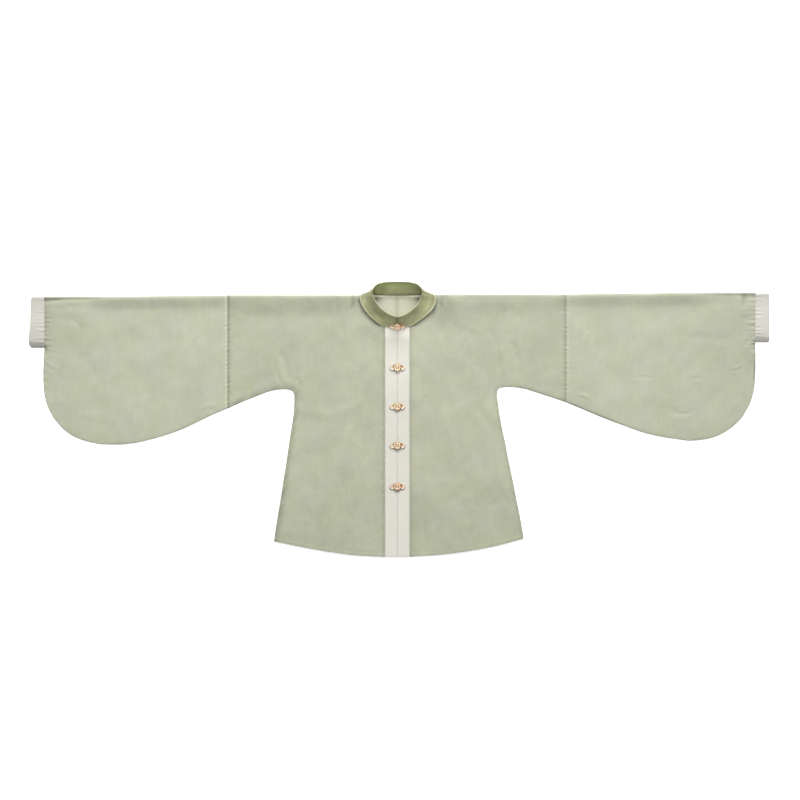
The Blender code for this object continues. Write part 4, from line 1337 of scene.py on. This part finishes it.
COLLAR_ROWS = (0, 0.3, 0.8, 1.5, 2.4, 3.6, 5.5, 8, 11, 14, 17, 20, 23, 26, 29, 32, 35, 38, 40.5, 42.4, 43.6,
               44.5, 45.2, 45.7, 46)


def collar_half(side_name):
    """The middle of half of the collar: an array of points from its front end to the centre back."""
    stations = table(COLLAR_COLUMNS, COLLAR_STATIONS[side_name])
    knots = np.arange(len(COLLAR_STATIONS[side_name]), dtype=float)
    places = np.linspace(0.0, knots[-1], (len(knots) - 1) * COLLAR_STEPS + 1)
    at = {name: curve(places, knots, values)[:, None] for name, values in stations.items()}
    share = np.array(COLLAR_ROWS)[None, :] / COLLAR_WIDTH
    across = np.hypot(at["free_x"] - at["base_x"], at["free_drop"] - at["base_drop"])
    rise = np.sqrt(COLLAR_WIDTH ** 2 - across ** 2)
    along = share * (1.0 + COLLAR_CURL * (1.0 - share))
    x = at["base_x"] + (at["free_x"] - at["base_x"]) * along
    drop = at["base_drop"] + (at["free_drop"] - at["base_drop"]) * along
    z = at["base_z"] + rise * share * (1.0 - COLLAR_CURL * (1.0 - share))
    return to_world(x, drop, z, SIDES[side_name])


def sheet_normals(points):
    """The direction straight out of a sheet of points, at each of them."""
    around = np.gradient(points, axis=0)
    up = np.gradient(points, axis=1)
    normal = np.cross(around, up)
    return normal / np.linalg.norm(normal, axis=-1, keepdims=True)


# %% Make the collar
middle = np.concatenate((collar_half("right"), collar_half("left")[-2::-1]))
out = sheet_normals(middle)
if out[0, 12, 1] > 0:
    out = -out
rows = np.array(COLLAR_ROWS)
from_edge = np.minimum(rows, COLLAR_WIDTH - rows)
around = np.concatenate(([0.0], np.cumsum(np.linalg.norm(np.diff(middle[:, 12], axis=0), axis=-1)))) / MM
thick = COLLAR_HALF * round_in(from_edge, COLLAR_HALF)
rim = 0.25 * edge_line(COLLAR_WIDTH - 1.6 - rows, 1.3) + 0.6 * edge_line(rows - 2.0, 1.6)
groove = -0.2 * edge_line(COLLAR_WIDTH - 4.2 - rows, 0.9)
soft = 0.28 * np.sin(around[:, None] / 21.0 + rows / 9.0) * ease(from_edge / 10.0)
soft = soft + 0.16 * np.sin(around[:, None] / 8.5 - rows / 14.0) * ease(from_edge / 8.0)
pulls = seam_ripple(rows[None, :], around[:, None], 7.0, 13.0, 0.25, 1.0) * ease(from_edge / 2.5)
outside = middle + out * ((thick + rim + groove) * MM + (soft + pulls) * MM)[..., None]
inside = middle - out * ((thick + rim * 0.6) * MM - soft * MM)[..., None]
loops = np.concatenate((outside, inside[:, -2:0:-1]), axis=1)
face_rows = np.concatenate((rows, rows[-2:0:-1]))
collar_uv = np.stack(np.broadcast_arrays(around[:, None] * MM, face_rows[None, :] * MM), axis=-1)
is_outer = (np.arange(len(face_rows)) < len(rows))[None, :]
from_front = np.minimum(around, around[-1] - around)[:, None]
# The collar's tones are painted light and shade: a painted highlight along the free edge with a dark line
# below it; outside, a painted highlight on the piping with a dark line above it, painted shade low on the
# sides and over the front, which faces away from the light, and a painted shadow where the front ends meet;
# inside, painted light on its upper part and painted shade towards its foot, darkest in the seam there, and a
# little at the free edge.
free_edge = 0.14 * edge_line(COLLAR_WIDTH - 0.7 - face_rows, 1.2)
free_edge = free_edge - 0.1 * edge_line(COLLAR_WIDTH - 4.0 - face_rows, 1.6)
at_side = ease((from_front - 40.0) / 40.0)
piping = 0.34 * edge_line(face_rows - 2.2, 2.2) - 0.16 * edge_line(face_rows - 6.8, 2.0)
outer_tone = piping * (0.25 + 0.75 * at_side) - at_side * 0.16 * fade_out(face_rows, 8.0, 30.0)
outer_tone = outer_tone - 0.1 * (1.0 - at_side) - 0.4 * edge_line(from_front, 4.0)
inner_tone = 0.15 - 0.19 * fade_out(face_rows, 12.0, 18.0) - 0.55 * edge_line(face_rows, 6.0)
inner_tone = inner_tone - 0.08 * ease((face_rows - 38.0) / 8.0)
for mark_outer, along, row, long, wide, strength in COLLAR_LIGHT_AND_SHADE:
    mark = strength * edge_line(around[:, None] - along % around[-1], long) * edge_line(face_rows - row, wide)
    if mark_outer:
        outer_tone = outer_tone + mark
    else:
        inner_tone = inner_tone + mark
collar_tone = np.where(is_outer, outer_tone, inner_tone) + free_edge
collar_mesh = loop_mesh("collar_silk", loops, collar_uv, collar_tone)
# The piping along the sides of the base takes the sleeves' silk, lighter than the collar's: with its tone it
# is a painted highlight on the raised bead.
OUTSIDE, INSIDE, PIPING = range(3)
kind_of_point = np.where(is_outer, OUTSIDE, INSIDE) * np.ones(middle.shape[:1], int)[:, None]
kind_of_point[(is_outer & (face_rows[None, :] < PIPING_WIDTH)) & (from_front > PIPING_START)] = PIPING
kind_of_point = kind_of_point.reshape(-1)
for face in collar_mesh.polygons:
    face.material_index = int(min(kind_of_point[vertex] for vertex in face.vertices))
collar = add_object("collar_silk", collar_mesh, silk_collar, silk_collar_inside, silk_sleeve)
as_plain_mesh(collar)
print("collar length round its middle: %.0f mm" % around[-1])

# %% [markdown]
# ## Stitches
# The seams are sewn by hand in short, even stitches. A stitch is tiny and there are more than a thousand of
# them, so this is work for Geometry Nodes: lines of points are laid on the cloth, and the node tree walks
# along each line and sets a small spindle of thread at every step. The instances are realized, so that the
# stitches become plain mesh.

# %% The stitch tree


def make_stitch_tree():
    """Build the node tree that sews along the edges of a mesh."""
    tree = bpy.data.node_groups.new("sew_along_lines", "GeometryNodeTree")
    face = tree.interface
    face.new_socket("Lines", in_out="INPUT", socket_type="NodeSocketGeometry")
    sockets = {}
    for name, value in (("Pitch", 0.0042), ("Stitch length", 0.0027), ("Thread thickness", 0.0005)):
        socket = face.new_socket(name, in_out="INPUT", socket_type="NodeSocketFloat")
        socket.default_value = value
        sockets[name] = socket.identifier
    sockets["Thread"] = face.new_socket("Thread", in_out="INPUT", socket_type="NodeSocketMaterial").identifier
    face.new_socket("Stitches", in_out="OUTPUT", socket_type="NodeSocketGeometry")
    start = add_node(tree, "NodeGroupInput").outputs
    lines = add_node(tree, "GeometryNodeMeshToCurve", {0: start["Lines"]})
    walk = add_node(tree, "GeometryNodeResampleCurve", {"Curve": lines.outputs[0], "Length": start["Pitch"]},
                    mode="LENGTH")
    tangent = add_node(tree, "GeometryNodeInputTangent")
    turn = add_node(tree, "FunctionNodeAlignRotationToVector", {"Vector": tangent.outputs[0]}, axis="X")
    ball = add_node(tree, "GeometryNodeMeshUVSphere", {"Segments": 6, "Rings": 4, "Radius": 0.5})
    size = add_node(tree, "ShaderNodeCombineXYZ", {0: start["Stitch length"], 1: start["Thread thickness"],
                                                   2: start["Thread thickness"]})
    spindle = add_node(tree, "GeometryNodeTransform", {"Geometry": ball.outputs[0], "Scale": size.outputs[0]})
    sewn = add_node(tree, "GeometryNodeInstanceOnPoints", {
        "Points": walk.outputs[0], "Instance": spindle.outputs[0], "Rotation": turn.outputs[0]})
    real = add_node(tree, "GeometryNodeRealizeInstances", {0: sewn.outputs[0]})
    smooth = add_node(tree, "GeometryNodeSetShadeSmooth", {0: real.outputs[0]})
    dyed = add_node(tree, "GeometryNodeSetMaterial", {
        "Geometry": smooth.outputs[0], "Material": start["Thread"]})
    add_node(tree, "NodeGroupOutput", {0: dyed.outputs[0]})
    return tree, sockets


stitch_tree, stitch_sockets = make_stitch_tree()

# %% Thread


def make_thread(name, colour):
    """Silk thread, a little glossier than the cloth, with its twist as a fine bump."""
    material, tree, shader = new_material(name)
    twist = wave(tree, add_node(tree, "ShaderNodeTexCoord").outputs["Object"], 900.0)
    fill_inputs(tree, shader, {
        "Base Color": mix(tree, twist, shifted(colour, 0.88, 0.88, 0.88), colour), "Roughness": 0.42,
        "Normal": bump(tree, twist, 0.3, 0.00005)})
    return material


green_thread = make_thread("sage_thread", tinted(172, 176, 148, LIGHT_LEVEL))
ivory_thread = make_thread("ivory_thread", tinted(222, 218, 204, LIGHT_LEVEL))


def sew(name, lines, thread, pitch):
    """Sew along lines of points, and return the stitches as one plain mesh object."""
    points = np.concatenate(lines)
    edges, start = [], 0
    for line in lines:
        edges += [(start + k, start + k + 1) for k in range(len(line) - 1)]
        start += len(line)
    mesh = bpy.data.meshes.new(name)
    mesh.from_pydata(points.tolist(), edges, [])
    rows_of_thread = add_object(name, mesh)
    nodes = rows_of_thread.modifiers.new("sewing", "NODES")
    nodes.node_group = stitch_tree
    nodes[stitch_sockets["Pitch"]] = pitch * MM
    nodes[stitch_sockets["Thread"]] = thread
    graph = bpy.context.evaluated_depsgraph_get()
    plain = bpy.data.meshes.new_from_object(rows_of_thread.evaluated_get(graph))
    rows_of_thread.modifiers.clear()
    rows_of_thread.data = plain
    return rows_of_thread


# %% Lines to sew along
STITCH_LIFT = 0.12


def section_line(grid, distance, key, side, rows):
    """A line of points on a front grid, at a distance from its first or last section."""
    measured = getattr(grid, key)
    place = int(np.argmin(np.abs(measured[:, measured.shape[1] // 3] - distance)))
    return to_world(grid.x[place, rows], grid.drop[place, rows], grid.z[place, rows] + STITCH_LIFT, side)


def row_line(grid, distance, key, side, sections):
    """A line of points on a front grid, at a distance from its fold or side seam."""
    measured = getattr(grid, key)
    place = int(np.argmin(np.abs(measured[measured.shape[0] // 2] - distance)))
    picked = (sections, place)
    return to_world(grid.x[picked], grid.drop[picked], grid.z[picked] + STITCH_LIFT, side)


green_lines = []
ivory_lines = []
for side_name, side in SIDES.items():
    body = body_grids[side_name]["front"]
    sleeve = sleeve_grids[side_name]["front"]
    cuff = cuff_grids[side_name]["front"]
    neck = int(np.argmax(body.folded[:, 0] < 1.0))
    green_lines.append(section_line(body, 3.0, "from_first", side, slice(3, -3)))
    green_lines.append(section_line(sleeve, 3.0, "from_first", side, slice(3, -3)))
    green_lines.append(section_line(body, HEM_FOLD, "from_last", side, slice(2, -3)))
    green_lines.append(row_line(body, 3.2, "from_fold", side, slice(neck + 4, None)))
    open_rows = int(np.argmin(np.abs(sleeve.share[-1] - CUFF_SHARE)))
    green_lines.append(section_line(sleeve, 3.0, "from_last", side, slice(3, open_rows)))
    ivory_lines.append(section_line(cuff, 3.0, "from_first", side, slice(3, -4)))
    ivory_lines.append(section_line(cuff, 6.8, "from_last", side, slice(3, -4)))
    band = band_points[side_name]
    for column in (4, 15):
        ivory_lines.append(band[2:-2, column] + np.array((0.0, 0.0, STITCH_LIFT * MM)))
for row in (5, 19):
    green_lines.append(outside[3:-3, row] + out[3:-3, row] * STITCH_LIFT * MM)
green_stitches = sew("stitches_green", green_lines, green_thread, 4.4)
ivory_stitches = sew("stitches_ivory", ivory_lines, ivory_thread, 4.0)
print("stitch triangles:", sum(len(thing.data.polygons) for thing in (green_stitches, ivory_stitches)))

# %% [markdown]
# ## Clasps
# Each clasp is a small cast flower between two leaves. The flower half has a hole, and a knob on the other
# half comes up through it. The petals are filled with cream enamel between raised copper rims. A flower
# like this is a ring whose height follows a rule: rims where two petals meet, and hollows between them. So
# it is worked out point by point round the ring, and the faces that lie in a hollow get the enamel.

# %% Metal and enamel


def make_metal(name, pale, deep):
    """Old copper gilt: warmth goes from pale gold to deep copper.
    Its tone paints shade into the hollows and on the side away from the light.
    """
    material, tree, shader = new_material(name)
    grain = noise(tree, add_node(tree, "ShaderNodeTexCoord").outputs["Object"], scale=900.0, detail=3.0)
    light = attribute(tree, "tone") + attribute(tree, "polish") + (grain - 0.5) * 0.4
    fill_inputs(tree, shader, {
        "Base Color": lit(tree, mix(tree, attribute(tree, "warmth"), pale, deep), light),
        "Roughness": grain * 0.25 + 0.24, "Normal": bump(tree, grain, 0.25, 0.00008), "Metallic": 0.85})
    return material


def make_enamel(name, colour, edge):
    """Opaque enamel that pools in a hollow: a clear glossy coat over a slightly mottled colour."""
    material, tree, shader = new_material(name)
    mottle = noise(tree, add_node(tree, "ShaderNodeTexCoord").outputs["Object"], scale=420.0, detail=2.0)
    fill_inputs(tree, shader, {
        "Base Color": lit(tree, mix(tree, mottle, edge, colour), attribute(tree, "polish")),
        "Roughness": mottle * 0.15 + 0.25, "Coat Weight": 0.5, "Coat Roughness": 0.15})
    return material


copper = make_metal("clasp_copper", tinted(202, 169, 120), tinted(184, 112, 62))
cream = make_enamel("cream_enamel", tinted(252, 240, 214, LIGHT_LEVEL), tinted(246, 222, 188, LIGHT_LEVEL))
pearl = make_enamel("pearl_enamel", tinted(246, 240, 226, LIGHT_LEVEL), tinted(236, 226, 204, LIGHT_LEVEL))
moss = make_enamel("moss_enamel", tinted(128, 134, 70, LIGHT_LEVEL), tinted(176, 176, 120, LIGHT_LEVEL))
rust = make_enamel("rust_enamel", tinted(206, 150, 108, LIGHT_LEVEL), tinted(160, 104, 68, LIGHT_LEVEL))
CLASP_MATERIALS = (copper, cream, pearl, moss, rust)
METAL, CREAM, PEARL, MOSS, RUST = range(5)

# %% Shapes of the clasp
FLOWER_RADIUS = 6.9
FLOWER_TUBE = 3.1
FLOWER_FLATTEN = 0.62
FLOWER_MIDDLE_Z = 3.7
PETALS = 8
PETAL_DEPTH = 0.12
PETAL_TWIST = 0.25
BUD_PETALS = 3
BUD_TWIST = 4.4
BUD_SHARE = 0.45
RIM_SHARE = 0.7
RIM_HEIGHT = 0.42
SEPAL_GAPS = (math.radians(48), math.radians(128))
FLOWER_AROUND = 160
FLOWER_TOP = 30
FLOWER_UNDER = 8


def flower_part():
    """The ring of petals: points, faces, each face's material and each point's tone."""
    angle = np.linspace(0.0, 2.0 * math.pi, FLOWER_AROUND, endpoint=False)[:, None]
    share = np.linspace(0.0, 1.0, FLOWER_TOP)[None, :]
    radius = FLOWER_RADIUS - FLOWER_TUBE * np.cos(share * math.pi)
    height = FLOWER_TUBE * FLOWER_FLATTEN * np.sin(share * math.pi)
    bud_turn = BUD_PETALS * (angle + BUD_TWIST * share)
    petal_turn = PETALS * (angle + PETAL_TWIST * (share - RIM_SHARE)) + math.pi
    bud = share < BUD_SHARE
    from_ridge = np.where(bud, np.abs(np.sin(bud_turn / 2.0)) * 1.4, np.abs(np.sin(petal_turn / 2.0)))
    rim_end = RIM_SHARE + 0.03 * np.cos(petal_turn + math.pi)
    hollow = ease((from_ridge - 0.12) / 0.18) * ease((rim_end - share) / 0.04) * ease((share - 0.05) / 0.05)
    hollow = hollow * ease((np.abs(share - BUD_SHARE) - 0.012) / 0.03)
    height = height + RIM_HEIGHT * (0.55 - hollow) * ease(share / 0.08) * ease((1.0 - share) / 0.08)
    height = height + 0.35 * ease((BUD_SHARE - share) / 0.03) * ease(share / 0.1)
    scale = 1.0 + PETAL_DEPTH * ease((share - 0.5) / 0.5) * (np.cos(petal_turn + math.pi) - 1.0) / 2.0
    under = np.linspace(1.0, 2.0, FLOWER_UNDER + 2)[None, 1:-1]
    under_radius = FLOWER_RADIUS - FLOWER_TUBE * np.cos(under * math.pi)
    under_height = FLOWER_TUBE * FLOWER_FLATTEN * np.sin(under * math.pi)
    below = (FLOWER_AROUND, FLOWER_UNDER)
    radius = np.concatenate((radius * scale, np.broadcast_to(under_radius, below)), axis=1)
    height = np.concatenate((height, np.broadcast_to(under_height, below)), axis=1)
    points = np.stack((radius * np.cos(angle), radius * np.sin(angle), FLOWER_MIDDLE_Z + height), axis=-1)
    filled = np.concatenate((hollow, np.zeros(below)), axis=1)
    count = FLOWER_TOP + FLOWER_UNDER
    index = np.arange(FLOWER_AROUND * count).reshape(FLOWER_AROUND, count)
    index = np.concatenate((index, index[:1]))
    index = np.concatenate((index, index[:, :1]), axis=1)
    faces = grid_faces(index)
    face_fill = filled.reshape(-1)[faces].min(axis=1)
    kinds = np.where(face_fill > 0.5, CREAM, METAL)
    # The tone is painted shade: in the grooves at the enamel's edges, on the outer rim and the underside,
    # more on the lower side, away from the light, and most at the two sepal gaps.
    at_rim = ease((np.linspace(0.0, 1.0, FLOWER_TOP) - RIM_SHARE) / 0.06)
    at_rim = np.concatenate((at_rim, np.ones(FLOWER_UNDER)))[None, :]
    from_gaps = [(angle - place + math.pi) % (2.0 * math.pi) - math.pi for place in SEPAL_GAPS]
    gaps = sum(edge_line(away, 0.2) for away in from_gaps)
    lower = ease(-np.sin(angle))
    groove = np.where((filled > 0.2) & (filled < 0.6), -0.25, 0.0)
    groove = groove - at_rim * (0.3 + 0.25 * lower + 0.65 * gaps)
    return points.reshape(-1, 3), faces, kinds, np.clip(groove, -0.9, 0.0).reshape(-1)


# %% Leaves
LEAF_TIP = 20.5
LEAF_HALF_WIDTH = 8.2
LEAF_SPREAD = 62.0
LEAF_DROOP = 1.6
LEAF_BODY = 2.0
EYE_LEAF_ROOT = 8.0
KNOB_LEAF_ROOT = 10.6
LEAF_AROUND = 46
LEAF_OUT = 26


def leaf_part(root, direction, root_enamel):
    """A leaf beside the flower: a raised rim and midrib, pearl enamel, and a darker enamel at its root."""
    turn = np.radians(np.linspace(-LEAF_SPREAD, LEAF_SPREAD, LEAF_AROUND))[:, None]
    tip_x, tip_y = LEAF_TIP * np.cos(turn), LEAF_HALF_WIDTH * np.sin(turn)
    first = root / np.hypot(tip_x, tip_y)
    out_share = np.linspace(0.0, 1.0, LEAF_OUT)[None, :]
    share = first + (1.0 - first) * out_share
    x = tip_x * share
    y = tip_y * share - LEAF_DROOP * (x / LEAF_TIP) ** 2
    reach = np.hypot(tip_x, tip_y) * (1.0 - first)
    from_rim = np.minimum(reach * (1.0 - out_share), reach * out_share + 0.15)
    from_end = (1.0 - np.abs(turn) / math.radians(LEAF_SPREAD)) * 9.0
    from_rim = np.minimum(from_rim, from_end)
    from_rib = np.abs(tip_y * share + 0.12 * x - 1.6)
    hollow = ease((from_rim - 0.5) / 0.4) * ease((from_rib - 0.15) / 0.3)
    crown = 0.55 * np.sin(math.pi * out_share)
    z = LEAF_BODY + crown + 0.38 * (1.0 - hollow) * ease(from_rim / 0.3 + 0.2)
    top = np.stack((direction * x, y, z), axis=-1)
    base = top.copy()
    base[..., 2] = 0.0
    count = LEAF_AROUND * LEAF_OUT
    index = np.arange(count).reshape(LEAF_AROUND, LEAF_OUT)
    border = np.concatenate((index[0, :], index[1:, -1], index[-1, -2::-1], index[-2:0:-1, 0]))
    following = np.roll(border, -1)
    walls = np.stack((border, following, following + count, border + count), axis=-1)
    faces = np.concatenate((grid_faces(index), grid_faces(index)[:, ::-1] + count, walls))
    fill = np.concatenate((hollow.reshape(-1), np.zeros(count)))
    root_side = np.concatenate(((out_share + 0.0 * turn).reshape(-1), np.zeros(count)))
    upper = np.concatenate((np.broadcast_to(y, top.shape[:2]).reshape(-1), np.zeros(count)))
    face_fill = fill[faces].min(axis=1)
    at_root = (root_side[faces].mean(axis=1) < 0.7) & (upper[faces].mean(axis=1) > -1.2)
    kinds = np.where(face_fill > 0.5, np.where(at_root, root_enamel, PEARL), METAL)
    # The tone is painted shade: darker towards the leaf's lower edge, away from the light, and darkest on its
    # sides and underside.
    lower = ease((-1.0 - y) / 3.0) * np.ones_like(hollow)
    tone = np.concatenate(((-0.2 - 0.35 * lower).reshape(-1), np.full(count, -0.6)))
    return np.concatenate((top.reshape(-1, 3), base.reshape(-1, 3))), faces, kinds, tone


# %% Knob and tongue
TONGUE_HALF = 2.5
TONGUE_TOP = 1.3
KNOB_PROFILE = ((3.3, 0.0), (3.3, 4.6), (3.25, 5.1), (3.1, 5.6), (2.85, 5.9), (2.5, 6.1), (2.3, 6.05),
                (2.1, 5.95), (1.8, 6.0), (1.3, 6.2), (0.9, 6.4), (0.4, 6.52), (0.02, 6.55))
KNOB_FILL_ROW = 6
KNOB_AROUND = 28


def knob_part():
    """The knob: a turned post with a thin rim round the cream enamel on its top."""
    profile = np.array(KNOB_PROFILE)
    angle = np.linspace(0.0, 2.0 * math.pi, KNOB_AROUND, endpoint=False)
    radius, height = profile[:, 0][None, :], profile[:, 1][None, :]
    x, y = radius * np.cos(angle)[:, None], radius * np.sin(angle)[:, None]
    points = np.stack(np.broadcast_arrays(x, y, height), axis=-1).reshape(-1, 3)
    index = np.arange(KNOB_AROUND * len(profile)).reshape(KNOB_AROUND, len(profile))
    index = np.concatenate((index, index[:1]))
    faces = grid_faces(index)
    kinds = np.tile(np.where(np.arange(len(profile) - 1) >= KNOB_FILL_ROW, CREAM, METAL), KNOB_AROUND)
    return points, faces, kinds, np.full(len(points), -0.15)


def tongue_part():
    """A flat bar that carries the knob from its leaf."""
    length = KNOB_LEAF_ROOT + 2.0
    corners = [(x, y, z) for x in (0.0, length) for y in (-TONGUE_HALF, TONGUE_HALF)
               for z in (0.0, TONGUE_TOP)]
    faces = np.array(((0, 1, 3, 2), (4, 6, 7, 5), (0, 4, 5, 1), (2, 3, 7, 6), (0, 2, 6, 4), (1, 5, 7, 3)))
    return np.array(corners), faces, np.full(len(faces), METAL), np.full(len(corners), -0.35)


# %% Place the clasps
CLASP_WELD = 1e-6
# For each clasp: drop, lift and tilt, how coppery it is, and how bright it is, with painted light that lifts
# the first clasp out of the collar's shadow.
CLASPS = (
    (81.0, 8.4, 29.0, 0.45, 1.46),
    (188.5, 3.6, 0.0, 0.3, 1.08),
    (290.0, 3.6, 0.0, 0.35, 1.12),
    (391.5, 3.6, 0.0, 0.55, 1.1),
    (498.0, 3.6, 0.0, 1.0, 1.1),
)


def make_clasp_half(name, parts, drop, lift, tilt, warmth, polish):
    """Join the shapes of one half, and set it on the front bands."""
    points, faces, kinds, tones, start = [], [], [], [], 0
    for part_points, part_faces, part_kinds, part_tones in parts:
        points.append(part_points)
        faces += (part_faces + start).tolist()
        kinds.append(part_kinds)
        tones.append(part_tones)
        start += len(part_points)
    mesh = make_mesh(name, np.concatenate(points) * MM, faces, tone=np.concatenate(tones),
                     warmth=np.full(start, warmth), polish=np.full(start, polish))
    mesh.polygons.foreach_set("material_index", np.concatenate(kinds).astype(np.int32))
    clean_mesh(mesh, weld=CLASP_WELD)
    place = Matrix.Translation(Vector(to_world(0.0, drop, lift, 1)))
    mesh.transform(place @ Matrix.Rotation(math.radians(tilt), 4, "X"))
    half = add_object(name, mesh, *CLASP_MATERIALS)
    mesh.shade_smooth()
    mesh.set_sharp_from_angle(angle=SHARP_ANGLE)
    return half


eye_parts = (flower_part(), leaf_part(EYE_LEAF_ROOT, -1, MOSS))
knob_parts = (knob_part(), tongue_part(), leaf_part(KNOB_LEAF_ROOT, 1, RUST))
clasps = {}
for number, (drop, lift, tilt, warmth, polish) in enumerate(CLASPS, start=1):
    for half_name, parts in (("eye", eye_parts), ("knob", knob_parts)):
        node = "clasp_%d_%s" % (number, half_name)
        clasps[node] = make_clasp_half(node + "_metal", parts, drop, lift, tilt, warmth, polish)
print("clasp halves:", len(clasps), "triangles each:",
      [sum(len(face.vertices) - 2 for face in clasps[node].data.polygons) for node in list(clasps)[:2]])

# %% [markdown]
# ## Put it together
# Every piece rides on the jacket's one body and stands for a solid of the frame. The collar's and a band's
# cloth areas are printed.

# %% Ride and replace
pieces = []
for side_name in SIDES:
    pieces.append((bodies[side_name], "body_" + side_name, "sage_silk"))
    pieces.append((sleeves[side_name], "sleeve_" + side_name, "sage_silk"))
    pieces.append((cuffs[side_name], "cuff_" + side_name, "cuff_satin"))
    pieces.append((bands[side_name], "front_band_" + side_name, "band_satin"))
pieces.append((collar, "collar", "collar_silk"))
for node, half in clasps.items():
    pieces.append((half, node, "clasp_copper"))
for piece, node, slot_name in pieces:
    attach(piece, "root")
    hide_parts(node)
for stitches, slot_name in ((green_stitches, "sage_silk"), (ivory_stitches, "band_satin")):
    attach(stitches, "root")


def cloth_area(thing):
    """The area of the cloth in square metres: half of a closed shell's surface."""
    return sum(face.area for face in thing.data.polygons) / 2


print("collar area %.4f m2, band area %.4f m2" % (cloth_area(collar), cloth_area(bands["left"])))

# %% Note both boxes and finish
low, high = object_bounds()
print("largest change of the box: %.1f mm" % (max(max(abs(a - b) for a, b in zip(p, q)) for p, q in (
    (cad_low, low), (cad_high, high))) / MM))
